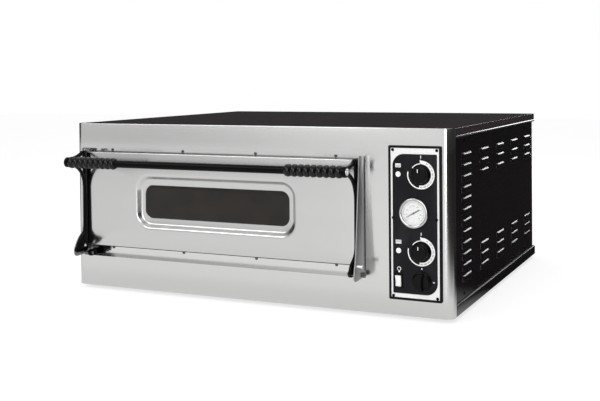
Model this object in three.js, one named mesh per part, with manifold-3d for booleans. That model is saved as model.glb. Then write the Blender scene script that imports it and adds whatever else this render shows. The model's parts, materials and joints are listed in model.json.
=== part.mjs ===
// A single-deck electric baking oven: a sheet-steel cabinet round an insulated chamber with stone
// floor slabs, a drop-down windowed door on two side pivots, and a control panel on its right.
// Millimetres. +X to the right, +Y to the back, +Z up; the origin is on the floor, under the middle.
import * as THREE from "three";
import { mergeVertices } from "three/addons/utils/BufferGeometryUtils.js";
import Module from "manifold-3d";

const wasm = await Module();
wasm.setup();

// ---------------------------------------------------------------- driving dimensions
const WIDTH = 975;
const DEPTH = 814; // cabinet only: the handle stands in front of it
const FOOT_HEIGHT = 10;
const BODY_HEIGHT = 403;
const CORNER_R = 18;
const SHEET = 1.5; // folded steel sheet
const THIN = 1.2; // lighter sheet: liner and door skins
const GAP = 0.3; // between pieces that touch

const HANDLE_REACH = 77; // bar axis in front of the front panel
const HANDLE_Z = 322.5;
const BAR_R = 8.8;
const GRIP_R = 14;

const HALF_W = WIDTH / 2;
const FRONT = -(DEPTH + HANDLE_REACH + GRIP_R) / 2 + HANDLE_REACH + GRIP_R;
const BACK = FRONT + DEPTH;
const BASE = FOOT_HEIGHT;
const TOP = FOOT_HEIGHT + BODY_HEIGHT;

const WRAP = 26; // how far the front panel turns back along each side
const SIDE_RECESS = 4.5; // side panels lie this far inside the overall width
const FLANGE = 22; // top cover's side flange
const TRAY_FLANGE = 24;
const HEM = 3.6; // folded edge along the foot of the top cover's flange

const DOOR_X = -87.5; // middle of door, chamber and handle
const OPENING = { half: 378.7, bottom: 84.5, top: 352 };
const DOOR = { half: 374.3, bottom: 113, top: 343, face: 10, rear: -21 };
const PIVOT = { forward: 14.3, z: 94, r: 4 };
const PLATE = { inner: 374.8, outer: 377.3 };
const ARM = { inner: 359.5, outer: 367.5 };
const ARM_BOLT = { r: 3, barrel: 4.2 };
const ARM_BOLT_AT = {
  left: { forward: 24, z: 113, out: 3, end: ARM.inner - 3.5 },
  right: { forward: 47, z: 118, out: 12.3, end: PLATE.inner - 3.5 },
};
const PIN_HEAD = { r: 5.2, out: 4.3 };
const PIN_LENGTH = 40;
const EYE_R = 12;
const GRIP_LENGTH = 136;
const GRIP_RIBS = 9;

const FLANGE_DEPTH = 22; // chamber's front flange, behind the front panel's face
const CHAMBER = { half: 332, deep: 662, floor: 118, ceiling: 302 };
const MOUTH = { half: 330, bottom: 155, top: 297 };
const STONE = { thick: 18, top: 155 };
const ELEMENT = { r: 4, lowerZ: 123, upperZ: 295, firstLeg: 110, pitch: 150, half: 225, out: 350 };
const LAMP = { depth: 200, z: 262, r: 22 };
const PROBE = { depth: 335, lowerZ: 124, upperZ: 275, r: 3 };

const PANEL = { x: 406, z: 210.5, w: 119, h: 331 }; // black frame of the control panel
const DIAL_X = 420;
const DIALS_Z = { upper: 314.5, lower: 150.8 };
const SELECTOR = { x: 421, z: 87.5 };
const GAUGE = { x: 404, z: 232.5, r: 32.5 };
const PILOT_X = 369;
const SWITCH = { x: 367.5, z: 86, w: 20, h: 32 };
const KNOB_R = 21.5;
const KNOB_BACK = 5.2; // knob's back face, in front of the front panel
const ROCKER_TILT = 8;

const LOUVRE = { length: 75, height: 14, depth: 4.5, first: 122, pitch: 152, top: 355, drop: 24.4 };
const LOUVRE_ROWS = 12;
const LOUVRE_COLUMNS = 5;
const LOUVRE_GROUP = 3; // rows kept at the top and foot of every column behind the first

// ---------------------------------------------------------------- finishes
const finish = (color, roughness, metalness) =>
  new THREE.MeshStandardMaterial({ color, roughness, metalness });
const STEEL = finish(0xc9c9c7, 0.32, 1);
const STEEL_DARK = finish(0x8f8f90, 0.35, 1);
const BLACK_PAINT = finish(0x17151a, 0.3, 0);
const GALVANISED = finish(0xa9adb0, 0.5, 1);
const CHROME = finish(0xdcdcdc, 0.12, 1);
const BLACK_GLOSS = finish(0x0b0a0b, 0.22, 0);
const BLACK_PLASTIC = finish(0x121212, 0.45, 0);
const WHITE = finish(0xf2f2f0, 0.5, 0);
const RUBBER = finish(0x1b1b1b, 0.85, 0);
const STONE_BUFF = finish(0xc9b697, 0.95, 0);
const WOOL = finish(0xb9ad7c, 1, 0);
const CERAMIC = finish(0xe8e4da, 0.6, 0);
const SMOKED_GLASS = finish(0x2c2521, 0.08, 0);
const CLEAR_GLASS = finish(0xe9eef0, 0.05, 0);
const ELEMENT_STEEL = finish(0x4c4a47, 0.5, 1);

// ---------------------------------------------------------------- solids
const UP = new THREE.Vector3(0, 0, 1);
const X_AXIS = new THREE.Vector3(1, 0, 0);
const Y_AXIS = new THREE.Vector3(0, 1, 0);
const OUTWARD = new THREE.Vector3(0, -1, 0);

const behind = (depth) => FRONT + depth; // depth behind the front panel's face
const ahead = (forward) => FRONT - forward; // distance in front of it

function solid(geometry) {
  const bare = new THREE.BufferGeometry().setAttribute("position", geometry.getAttribute("position"));
  if (geometry.index) bare.setIndex(geometry.index);
  const merged = mergeVertices(bare, 1e-4);
  return new wasm.Manifold(
    new wasm.Mesh({
      numProp: 3,
      vertProperties: merged.attributes.position.array,
      triVerts: new Uint32Array(merged.index.array),
    }),
  );
}

function geometryOf(body) {
  const made = body.getMesh();
  return new THREE.BufferGeometry()
    .setAttribute("position", new THREE.BufferAttribute(new Float32Array(made.vertProperties), 3))
    .setIndex(new THREE.BufferAttribute(new Uint32Array(made.triVerts), 1));
}

const join = (first, ...others) => others.reduce((sum, other) => sum.add(other), first);
const cut = (first, ...others) => others.reduce((rest, other) => rest.subtract(other), first);

function box(x0, x1, y0, y1, z0, z1) {
  const made = new THREE.BoxGeometry(x1 - x0, y1 - y0, z1 - z0);
  return solid(made.translate((x0 + x1) / 2, (y0 + y1) / 2, (z0 + z1) / 2));
}

// Outlines may be drawn either way round: here they run anticlockwise and their holes clockwise.
function extruded(shape, depth, curveSegments) {
  const { shape: rim, holes } = shape.extractPoints(curveSegments);
  if (THREE.ShapeUtils.isClockWise(rim)) rim.reverse();
  const outline = new THREE.Shape(rim);
  outline.holes = holes.map((hole) => {
    if (!THREE.ShapeUtils.isClockWise(hole)) hole.reverse();
    return new THREE.Path(hole);
  });
  return new THREE.ExtrudeGeometry(outline, { depth, bevelEnabled: false });
}

// A plan outline (x, y) raised from z0 to z1.
const raised = (shape, z0, z1, curveSegments = 5) =>
  solid(extruded(shape, z1 - z0, curveSegments).translate(0, 0, z0));

// A front outline (x, z) running from y0 back to y1.
function frontal(shape, y0, y1, curveSegments = 4) {
  const turn = new THREE.Matrix4().makeBasis(X_AXIS, UP, OUTWARD);
  return solid(extruded(shape, y1 - y0, curveSegments).applyMatrix4(turn).translate(0, y1, 0));
}

// A side outline (y, z) running from x0 across to x1.
function sideways(shape, x0, x1, curveSegments = 5) {
  const turn = new THREE.Matrix4().makeBasis(Y_AXIS, UP, X_AXIS);
  return solid(extruded(shape, x1 - x0, curveSegments).applyMatrix4(turn).translate(x0, 0, 0));
}

// A closed profile of [radius, distance] turned about an axis that starts at `from`.
function turned(profile, axis, from, segments = 16) {
  const points = profile.map(([r, along]) => new THREE.Vector2(r, along));
  const made = new THREE.LatheGeometry(points, segments);
  made.applyQuaternion(new THREE.Quaternion().setFromUnitVectors(Y_AXIS, axis));
  return solid(made.translate(...from));
}

const rod = (radius, length, axis, from, segments = 16) =>
  turned([[0, 0], [radius, 0], [radius, length], [0, length]], axis, from, segments);

// Corner radii run anticlockwise from the lower left corner.
function roundedRect(x0, x1, y0, y1, radii) {
  const [a, b, c, d] = Array.isArray(radii) ? radii : [radii, radii, radii, radii];
  const shape = new THREE.Shape();
  shape.moveTo(x0 + a, y0);
  shape.lineTo(x1 - b, y0);
  if (b) shape.absarc(x1 - b, y0 + b, b, -Math.PI / 2, 0, false);
  shape.lineTo(x1, y1 - c);
  if (c) shape.absarc(x1 - c, y1 - c, c, 0, Math.PI / 2, false);
  shape.lineTo(x0 + d, y1);
  if (d) shape.absarc(x0 + d, y1 - d, d, Math.PI / 2, Math.PI, false);
  shape.lineTo(x0, y0 + a);
  if (a) shape.absarc(x0 + a, y0 + a, a, Math.PI, Math.PI * 1.5, false);
  return shape;
}

const centredRect = (x, z, w, h, r) => roundedRect(x - w / 2, x + w / 2, z - h / 2, z + h / 2, r);

// A tapering block between two rounded rectangles: { forward, w, h, r } at each end.
function tapered(x, z, inner, outer, cornerSteps = 6) {
  const ring = ({ forward, w, h, r }) =>
    centredRect(x, z, w, h, r)
      .getPoints(cornerSteps)
      .slice(0, -1)
      .map((p) => new THREE.Vector3(p.x, ahead(forward), p.y));
  const back = ring(inner);
  const face = ring(outer);
  const count = back.length;
  const positions = [...back, ...face, new THREE.Vector3(x, ahead(inner.forward), z)];
  positions.push(new THREE.Vector3(x, ahead(outer.forward), z));
  const triangles = [];
  for (let i = 0; i < count; i++) {
    const next = (i + 1) % count;
    triangles.push(i, next, count + i, next, count + next, count + i);
    triangles.push(next, i, 2 * count, count + i, count + next, 2 * count + 1);
  }
  const made = new THREE.BufferGeometry().setFromPoints(positions);
  made.setIndex(triangles);
  return solid(made);
}

const oven = new THREE.Group();
oven.name = "deck_oven";
const groups = {};
for (const name of ["cabinet", "chamber", "controls", "door"]) {
  groups[name] = new THREE.Group();
  groups[name].name = name;
  oven.add(groups[name]);
}

function piece(group, name, body, material) {
  const made = new THREE.Mesh(geometryOf(body), material);
  made.name = name;
  groups[group].add(made);
  return made;
}

const SIDES = [
  ["left", -1],
  ["right", 1],
];

// A block between two distances from the middle of the door, on one side of it.
function sideBlock(side, near, far, y0, y1, z0, z1) {
  const [x0, x1] = [DOOR_X + side * near, DOOR_X + side * far].sort((a, b) => a - b);
  return box(x0, x1, y0, y1, z0, z1);
}

function sideOutline(side, near, far, shape, curveSegments) {
  const [x0, x1] = [DOOR_X + side * near, DOOR_X + side * far].sort((a, b) => a - b);
  return sideways(shape, x0, x1, curveSegments);
}

// ---------------------------------------------------------------- cabinet
function frontPanelPlan(inset) {
  const half = HALF_W - inset;
  const r = CORNER_R - inset;
  const shape = new THREE.Shape();
  shape.moveTo(-half, behind(WRAP));
  shape.lineTo(-half, behind(CORNER_R));
  shape.absarc(-half + r, behind(CORNER_R), r, Math.PI, Math.PI * 1.5, false);
  shape.lineTo(half - r, behind(inset));
  shape.absarc(half - r, behind(CORNER_R), r, -Math.PI / 2, 0, false);
  shape.lineTo(half, behind(WRAP));
  return shape;
}

const CUTOUT = { x0: 358, x1: 454, z0: 62, z1: 358 };

function frontPanel() {
  const shell = cut(
    raised(frontPanelPlan(0), BASE, TOP),
    raised(frontPanelPlan(SHEET), BASE + SHEET, TOP - SHEET),
    raised(frontPanelPlan(2 * SHEET), TOP - 2 * SHEET, TOP + 1),
    box(-HALF_W, HALF_W, behind(WRAP), behind(WRAP + 5), BASE - 1, TOP + 1),
  );
  const doorway = box(
    DOOR_X - OPENING.half, DOOR_X + OPENING.half, FRONT - 1, behind(5), OPENING.bottom, OPENING.top,
  );
  const controls = box(CUTOUT.x0, CUTOUT.x1, FRONT - 1, behind(5), CUTOUT.z0, CUTOUT.z1);
  return cut(shell, doorway, controls);
}

function topCover() {
  const under = TOP - 0.2;
  const inside = HALF_W - SIDE_RECESS + GAP;
  const lead = behind(2 * SHEET + GAP);
  const r = CORNER_R - 2 * SHEET - GAP;
  const half = HALF_W - 2 * SHEET - GAP;
  const nose = raised(roundedRect(-half, half, lead, behind(60), [r, r, 0, 0]), under - SHEET, under);
  const start = behind(WRAP + GAP);
  const outer = HALF_W - 0.6;
  const lid = box(-outer, outer, start, BACK - GAP, under - SHEET, under);
  const foot = TOP - FLANGE;
  const flanges = [-1, 1].flatMap((side) => {
    const wall = (a, b, z0, z1) =>
      box(Math.min(side * a, side * b), Math.max(side * a, side * b), start, BACK - GAP, z0, z1);
    return [
      wall(outer - SHEET, outer, foot, under),
      wall(inside, HALF_W, foot, foot + SHEET),
      wall(outer - SHEET, HALF_W, foot, foot + HEM),
    ];
  });
  const rear = box(-outer, outer, BACK - GAP - SHEET, BACK - GAP, foot, under);
  return join(nose, lid, ...flanges, rear);
}

function baseTray() {
  const start = behind(WRAP + GAP);
  const inside = HALF_W - SIDE_RECESS + GAP;
  const rim = BASE + TRAY_FLANGE;
  const floor = box(-HALF_W, HALF_W, start, BACK, BASE, BASE + SHEET);
  const flanges = [-1, 1].flatMap((side) => {
    const wall = (a, b, z0, z1) =>
      box(Math.min(side * a, side * b), Math.max(side * a, side * b), start, BACK, z0, z1);
    return [wall(HALF_W - SHEET, HALF_W, BASE, rim), wall(inside, HALF_W, rim - SHEET, rim)];
  });
  return join(floor, ...flanges, box(-HALF_W, HALF_W, BACK - SHEET, BACK, BASE, rim));
}

// One louvre's hood, pressed outwards from the side panel and rounded above.
function hoodOutline(top) {
  const root = HALF_W - SIDE_RECESS;
  const outer = root + LOUVRE.depth;
  const shape = new THREE.Shape();
  shape.moveTo(root - SHEET / 2, top);
  shape.lineTo(root, top);
  shape.quadraticCurveTo(outer, top - 2, outer, top - 7);
  shape.lineTo(outer, top - LOUVRE.height);
  shape.lineTo(root - SHEET / 2, top - LOUVRE.height);
  return shape;
}

const louvreRows = (column) => {
  const all = [...Array(LOUVRE_ROWS).keys()];
  return column === 0 ? all : all.filter((row) => row < LOUVRE_GROUP || row >= LOUVRE_ROWS - LOUVRE_GROUP);
};

function sidePanel() {
  const face = HALF_W - SIDE_RECESS;
  const rear = BACK - 4.5;
  const bend = 12;
  const plan = new THREE.Shape();
  plan.moveTo(face, behind(20));
  plan.lineTo(face, rear - bend);
  plan.absarc(face - bend, rear - bend, bend, 0, Math.PI / 2, false);
  plan.lineTo(face - 28, rear);
  plan.lineTo(face - 28, rear - SHEET);
  plan.lineTo(face - bend, rear - SHEET);
  plan.absarc(face - bend, rear - bend, bend - SHEET, Math.PI / 2, 0, true);
  plan.lineTo(face - SHEET, behind(20));
  let panel = raised(plan, BASE + SHEET + GAP, TOP - 0.2 - SHEET - GAP);
  for (let column = 0; column < LOUVRE_COLUMNS; column++) {
    const middle = behind(LOUVRE.first + column * LOUVRE.pitch);
    for (const row of louvreRows(column)) {
      const top = LOUVRE.top - row * LOUVRE.drop;
      const half = LOUVRE.length / 2;
      const hollow = box(
        face - 3, face + LOUVRE.depth - THIN, middle - half + THIN, middle + half - THIN,
        top - LOUVRE.height - 1, top - 4,
      );
      panel = panel.add(frontal(hoodOutline(top), middle - half, middle + half, 3)).subtract(hollow);
    }
  }
  return panel;
}

const GLAND = { x: 425, z: 70, r: 10 };

function backPanel() {
  const y = BACK - 4.5 - SHEET - GAP;
  const sheet = box(-470, 470, y - SHEET, y, BASE + SHEET + GAP, TOP - 0.2 - SHEET - GAP);
  const slots = [...Array(8).keys()].map((i) => {
    const z = 130 + 14 * i;
    return box(360, 440, y - 5, y + 5, z, z + 5);
  });
  return cut(sheet, rod(GLAND.r, 20, Y_AXIS, [GLAND.x, y - 10, GLAND.z]), ...slots);
}

function foot(x, y) {
  const top = FOOT_HEIGHT - GAP;
  return turned([[0, 0], [17, 0], [18, 1.5], [16, top], [0, top]], UP, [x, y, 0], 20);
}

function makeCabinet() {
  piece("cabinet", "front_panel", frontPanel(), STEEL);
  piece("cabinet", "top_cover", topCover(), BLACK_PAINT);
  piece("cabinet", "base_tray", baseTray(), BLACK_PAINT);
  const panel = sidePanel();
  piece("cabinet", "right_side_panel", panel, BLACK_PAINT);
  piece("cabinet", "left_side_panel", panel.mirror([1, 0, 0]), BLACK_PAINT);
  piece("cabinet", "back_panel", backPanel(), GALVANISED);
  for (const [side, x] of [["left", -430], ["right", 430]]) {
    piece("cabinet", `front_${side}_foot`, foot(x, behind(70)), RUBBER);
    piece("cabinet", `rear_${side}_foot`, foot(x, BACK - 70), RUBBER);
  }
  for (const [name, side] of SIDES) {
    piece("cabinet", `${name}_hinge_bracket`, hingeBracket(side), BLACK_GLOSS);
  }
  const glandY = BACK - 4.5 - SHEET - GAP;
  const gland = turned(
    [[0, 0], [15, 0], [15, 6], [9.6, 6], [9.6, 8.2], [13, 8.2], [13, 10.5], [9, 12.5], [0, 12.5]],
    Y_AXIS, [GLAND.x, glandY - SHEET - 6.3, GLAND.z], 12,
  );
  piece("cabinet", "cable_gland", gland, BLACK_PLASTIC);
  piece("cabinet", "terminal_block", terminalBlock(), WHITE);
}

// Supply terminals on the tray's floor, with one notch for each wire.
function terminalBlock() {
  const y = BACK - 110;
  const [left, pitch, wires] = [385, 13, 5];
  const notches = [...Array(wires).keys()].map((i) => {
    const x = left + 5 + pitch * i;
    return box(x, x + 8, y - 1, y + 8, BASE + 18, BASE + 31);
  });
  return cut(box(left, left + 70, y, y + 24, BASE + SHEET + GAP, BASE + 30), ...notches);
}

// A lug screwed to the chamber's flange, whose ear carries the door's pivot pin.
function hingeBracket(side) {
  const rest = behind(FLANGE_DEPTH - GAP);
  const ear = new THREE.Shape();
  ear.moveTo(rest, PIVOT.z - 8);
  ear.lineTo(ahead(PIVOT.forward), PIVOT.z - 8);
  ear.absarc(ahead(PIVOT.forward), PIVOT.z, 8, -Math.PI / 2, Math.PI / 2, true);
  ear.lineTo(rest, PIVOT.z + 8);
  const hole = new THREE.Path();
  hole.absarc(ahead(PIVOT.forward), PIVOT.z, PIVOT.r + 0.35, 0, Math.PI * 2, true);
  ear.holes.push(hole);
  return join(
    sideBlock(side, 334, 352, rest - 4, rest, PIVOT.z - 8, PIVOT.z + 15),
    sideOutline(side, 345, 352, ear, 10),
  );
}

// ---------------------------------------------------------------- chamber
const CHAMBER_FRONT = FLANGE_DEPTH + SHEET;

function chamberLiner() {
  const { half, deep, floor, ceiling } = CHAMBER;
  const [left, right] = [DOOR_X - half, DOOR_X + half];
  const front = behind(CHAMBER_FRONT);
  const plate = box(
    DOOR_X - 385, DOOR_X + 385, behind(FLANGE_DEPTH), front, OPENING.bottom - 6, OPENING.top + 6,
  );
  const shell = cut(
    box(left - THIN, right + THIN, front, front + deep + THIN, floor - THIN, ceiling + THIN),
    box(left, right, front - 1, front + deep, floor, ceiling),
  );
  const mouth = box(
    DOOR_X - MOUTH.half, DOOR_X + MOUTH.half, behind(0), front + 1, MOUTH.bottom, MOUTH.top,
  );
  const bars = [60, 345, 640].map((d) =>
    box(left - 0.5, right + 0.5, behind(d), behind(d + 8), 128, STONE.top - STONE.thick - GAP),
  );
  const legs = [ELEMENT.firstLeg, ELEMENT.firstLeg + 3 * ELEMENT.pitch];
  const ports = legs.flatMap((d) =>
    [ELEMENT.lowerZ, ELEMENT.upperZ].map((z) => rod(6, 20, X_AXIS, [right - 10, behind(d), z], 12)),
  );
  const probes = [PROBE.lowerZ, PROBE.upperZ].map((z) =>
    rod(PROBE.r + 1, 20, X_AXIS, [right - 10, behind(PROBE.depth), z], 12),
  );
  const lamp = rod(LAMP.r - 2, 20, X_AXIS, [right - 10, behind(LAMP.depth), LAMP.z], 24);
  return cut(join(cut(plate, mouth), shell, ...bars), mouth, ...ports, ...probes, lamp);
}

function stone(side) {
  const y0 = behind(CHAMBER_FRONT + 1);
  return sideBlock(
    side, 0.5, MOUTH.half, y0, y0 + CHAMBER.deep - 3, STONE.top - STONE.thick, STONE.top,
  );
}

// A sheathed element bent to and fro in one plane, with both ends out through the right wall.
function heatingElement(z) {
  const path = new THREE.CurvePath();
  const [near, far, out] = [-ELEMENT.half, ELEMENT.half, ELEMENT.out];
  const legY = (i) => behind(ELEMENT.firstLeg + i * ELEMENT.pitch);
  const at = (x, y) => new THREE.Vector3(DOOR_X + x, y, z);
  const bend = (x, y, from, to) => {
    const r = ELEMENT.pitch / 2;
    const steps = 6;
    const points = [...Array(steps + 1).keys()].map((i) => {
      const angle = from + ((to - from) * i) / steps;
      return at(x + r * Math.cos(angle), y + r * Math.sin(angle));
    });
    path.add(new THREE.CatmullRomCurve3(points));
  };
  const straight = (x0, x1, y) => path.add(new THREE.LineCurve3(at(x0, y), at(x1, y)));
  const between = (i) => (legY(i) + legY(i + 1)) / 2;
  straight(out, near, legY(0));
  bend(near, between(0), Math.PI * 1.5, Math.PI / 2);
  straight(near, far, legY(1));
  bend(far, between(1), -Math.PI / 2, Math.PI / 2);
  straight(far, near, legY(2));
  bend(near, between(2), Math.PI * 1.5, Math.PI / 2);
  straight(near, out, legY(3));
  const section = new THREE.Shape().absarc(0, 0, ELEMENT.r, 0, Math.PI * 2, false);
  const options = { extrudePath: path, steps: 48, curveSegments: 3, bevelEnabled: false };
  return solid(new THREE.ExtrudeGeometry(section, options));
}

const WOOL_BLANKET = { half: 384, bottom: 50, top: 370 };

function makeInsulation() {
  const { half, bottom, top } = WOOL_BLANKET;
  const start = behind(CHAMBER_FRONT + 1);
  const rear = behind(CHAMBER_FRONT) + CHAMBER.deep + THIN + 0.5;
  const gap = THIN + 0.6;
  const wall = DOOR_X + CHAMBER.half;
  const ring = cut(
    box(DOOR_X - half, DOOR_X + half, start, rear, bottom, top),
    box(
      DOOR_X - CHAMBER.half - gap, DOOR_X + CHAMBER.half + gap,
      start - 1, rear + 1, CHAMBER.floor - gap, CHAMBER.ceiling + gap,
    ),
    ...[ELEMENT.firstLeg, ELEMENT.firstLeg + 3 * ELEMENT.pitch].flatMap((d) =>
      [ELEMENT.lowerZ, ELEMENT.upperZ].map((z) =>
        box(wall, wall + 60, behind(d) - 9, behind(d) + 9, z - 9, z + 9),
      ),
    ),
    ...[PROBE.lowerZ, PROBE.upperZ].map((z) =>
      box(wall, wall + 60, behind(PROBE.depth) - 6, behind(PROBE.depth) + 6, z - 6, z + 6),
    ),
    rod(LAMP.r + 3, 80, X_AXIS, [wall, behind(LAMP.depth), LAMP.z], 16),
  );
  piece("chamber", "insulation_blanket", ring, WOOL);
  const slab = box(DOOR_X - half, DOOR_X + half, rear + GAP, rear + 70, bottom, top);
  piece("chamber", "rear_insulation", slab, WOOL);
}

function makeChamber() {
  piece("chamber", "chamber_liner", chamberLiner(), STEEL_DARK);
  for (const [name, side] of SIDES) piece("chamber", `${name}_baking_stone`, stone(side), STONE_BUFF);
  piece("chamber", "upper_heating_element", heatingElement(ELEMENT.upperZ), ELEMENT_STEEL);
  piece("chamber", "lower_heating_element", heatingElement(ELEMENT.lowerZ), ELEMENT_STEEL);
  makeInsulation();
  const wall = DOOR_X + CHAMBER.half;
  const lampAt = [wall - GAP, behind(LAMP.depth), LAMP.z];
  const dome = [[0, 0], [LAMP.r, 0], [LAMP.r, 2], [17, 9], [9, 13], [0, 14]];
  const glass = turned(dome, X_AXIS.clone().negate(), lampAt);
  piece("chamber", "lamp_glass", glass, CLEAR_GLASS);
  const holder = turned(
    [[0, 0], [LAMP.r - 2.5, 0], [LAMP.r - 2.5, 3], [LAMP.r, 3], [LAMP.r, 30], [12, 34], [12, 50], [0, 50]],
    X_AXIS, [wall, behind(LAMP.depth), LAMP.z],
  );
  piece("chamber", "lamp_holder", holder, CERAMIC);
  for (const [name, z] of [["upper", PROBE.upperZ], ["lower", PROBE.lowerZ]]) {
    const probe = rod(PROBE.r, 32, X_AXIS, [wall - 20, behind(PROBE.depth), z], 12);
    piece("chamber", `${name}_thermostat_bulb`, probe, CHROME);
  }
}

// ---------------------------------------------------------------- controls
const discAt = (x, z, r, segments = 10) => rod(r, 30, OUTWARD, [x, behind(15), z], segments);
const THERMOSTATS = Object.entries(DIALS_Z);

function controlHoles() {
  return [
    ...THERMOSTATS.flatMap(([, z]) => [discAt(DIAL_X, z, 5), discAt(PILOT_X, z, 6)]),
    discAt(SELECTOR.x, SELECTOR.z, 6),
    discAt(GAUGE.x, GAUGE.z, 28, 24),
    frontal(centredRect(SWITCH.x, SWITCH.z, SWITCH.w - 3, SWITCH.h - 3, 0), ahead(15), behind(15)),
  ];
}

// Two steps of sheet in front of each other: from `forward` for `thick`.
const sheetAt = (shape, forward, thick) => frontal(shape, ahead(forward + thick), ahead(forward));

function makeFacings() {
  const { x, z, w, h } = PANEL;
  const bezel = cut(
    sheetAt(centredRect(x, z, w, h, 3), GAP, 2),
    frontal(centredRect(x, z, w - 20, h - 32, 2), ahead(15), behind(15)),
  );
  piece("controls", "control_bezel", bezel, BLACK_PLASTIC);
  const holes = controlHoles();
  const plate = cut(sheetAt(centredRect(x, z, w - 9, h - 9, 2), 2.6, 1.2), ...holes);
  piece("controls", "control_plate", plate, WHITE);
  const field = roundedRect(x - w / 2 + 9.7, x + w / 2 - 9.7, z - 151, z + 147.5, [2, 26, 2, 26]);
  const overlay = cut(sheetAt(field, 4.1, 0.6), ...holes);
  piece("controls", "control_overlay", overlay, BLACK_PLASTIC);
}

// Knob turned round its skirt and body, with a raised grip bar across the front.
function knob(x, z, bodyR, barLength) {
  const rise = 17;
  const body = turned(
    [[0, 0], [KNOB_R, 0], [KNOB_R, 3], [bodyR + 1, 5], [bodyR - 1, 10], [0, 10]],
    OUTWARD, [x, ahead(KNOB_BACK), z], 20,
  );
  const bar = sheetAt(centredRect(x, z, 9, barLength, 3), KNOB_BACK + 4, rise - 4);
  return body.add(bar);
}

// A switch body behind the panel, with its round bush up to the knob.
function switchBody(x, z, w, h, depth, bushR) {
  const case_ = frontal(centredRect(x, z, w, h, 2), behind(6), behind(6 + depth), 2);
  return case_.add(rod(bushR, 12, OUTWARD, [x, behind(7), z]));
}

function makeGauge() {
  const at = (forward) => [GAUGE.x, ahead(forward), GAUGE.z];
  const { r } = GAUGE;
  const rim = [[27.2, 0], [r, 0], [r, 2.5], [r - 1.5, 4.8], [28, 5.2]];
  const lip = [[26.4, 4.6], [26.4, 4.2], [27.2, 4.2], [27.2, 0]];
  const bezel = turned([...rim, ...lip], OUTWARD, at(5), 28);
  piece("controls", "thermometer_bezel", bezel, CHROME);
  piece("controls", "thermometer_body", rod(26.6, 27, OUTWARD, at(-22), 24), STEEL_DARK);
  piece("controls", "thermometer_dial", rod(26.6, 0.7, OUTWARD, at(5.3), 24), WHITE);
  piece("controls", "thermometer_glass", rod(26.9, 1.1, OUTWARD, at(8), 28), CLEAR_GLASS);
  // Cold, the needle points down to the left; its blunt tail is opposite.
  const hand = new THREE.Shape();
  hand.moveTo(-1.1, -15.6);
  hand.lineTo(1.1, -15.6);
  hand.lineTo(0.35, 20);
  hand.lineTo(-0.35, 20);
  const pointer = extruded(hand, 0.5, 1)
    .rotateZ(Math.PI * 2 / 3)
    .applyMatrix4(new THREE.Matrix4().makeBasis(X_AXIS, UP, OUTWARD))
    .translate(...at(6.5));
  const hub = rod(2.4, 1.2, OUTWARD, at(6.3), 16);
  piece("controls", "thermometer_needle", solid(pointer).add(hub), BLACK_GLOSS);
}

function makeLightSwitch() {
  const { x, z, w, h } = SWITCH;
  const rim = sheetAt(centredRect(x, z, w, h, 2), 5, 2);
  const well = frontal(centredRect(x, z, w - 3.8, h - 3.8, 0), ahead(5.5), behind(18));
  const hollow = frontal(centredRect(x, z, w - 6, h - 6, 0), ahead(10), behind(13));
  piece("controls", "light_switch_frame", cut(rim.add(well), hollow), BLACK_PLASTIC);
  const half = h / 2 - 3.8;
  const tilt = THREE.MathUtils.degToRad(ROCKER_TILT);
  const outline = [[-3, -9], [-3, 9], [2, half], [6.2, half], [4.2, 0], [6.2, -half], [2, -half]];
  const points = outline.map(([forward, up]) => {
    const turnedPoint = new THREE.Vector2(-forward, up).rotateAround(new THREE.Vector2(), tilt);
    return new THREE.Vector2(ahead(0) + turnedPoint.x, z + turnedPoint.y);
  });
  const reach = (w - 7) / 2;
  const rocker = sideways(new THREE.Shape(points), x - reach, x + reach);
  piece("controls", "light_switch_rocker", rocker, WHITE);
}

function makeControls() {
  makeFacings();
  for (const [name, z] of THERMOSTATS) {
    piece("controls", `${name}_thermostat`, switchBody(DIAL_X, z, 38, 46, 32, 4.5), BLACK_PLASTIC);
    piece("controls", `${name}_thermostat_knob`, knob(DIAL_X, z, 17, 32), BLACK_PLASTIC);
    const lens = turned(
      [[0, 0], [5.5, 0], [5.5, 25], [7.2, 25], [7.2, 27.5], [5.5, 29.3], [0, 30]],
      OUTWARD, [PILOT_X, behind(20), z], 20,
    );
    piece("controls", `${name}_pilot_light`, lens, WHITE);
  }
  piece("controls", "main_switch", switchBody(SELECTOR.x, SELECTOR.z, 46, 46, 45, 5.5), BLACK_PLASTIC);
  piece("controls", "main_switch_knob", knob(SELECTOR.x, SELECTOR.z, 18, 38), BLACK_PLASTIC);
  makeGauge();
  makeLightSwitch();
}

// ---------------------------------------------------------------- door
const WINDOW = { z: 226, rim: { w: 430, h: 128, r: 38 }, flat: { w: 406, h: 105, r: 28 } };
const GLASS = { w: 388, h: 79, r: 20 };
const glassHole = () =>
  frontal(centredRect(DOOR_X, WINDOW.z, GLASS.w, GLASS.h, GLASS.r), ahead(30), behind(40));

function doorPan(half, bottom, top, front, rear, wall, openAtFront) {
  const inner = openAtFront ? [front + 1, rear + wall] : [front - wall, rear - 1];
  return cut(
    box(DOOR_X - half, DOOR_X + half, ahead(front), ahead(rear), bottom, top),
    box(
      DOOR_X - half + wall, DOOR_X + half - wall,
      ahead(inner[0]), ahead(inner[1]), bottom + wall, top - wall,
    ),
  );
}

function doorOuterSkin() {
  const { rim, flat } = WINDOW;
  const grow = (s, by) => ({ w: s.w + 2 * by, h: s.h + 2 * by, r: s.r + by });
  const face = DOOR.face;
  const pan = doorPan(DOOR.half, DOOR.bottom, DOOR.top, face, -14, THIN, false);
  const dish = tapered(
    DOOR_X, WINDOW.z,
    { forward: -THIN, ...grow(flat, THIN) }, { forward: face - THIN / 2, ...grow(rim, THIN) },
  );
  const hollow = tapered(
    DOOR_X, WINDOW.z, { forward: 0, ...flat }, { forward: face + 0.5, ...grow(rim, 0.5) },
  );
  return cut(pan.add(dish), hollow, glassHole());
}

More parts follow.
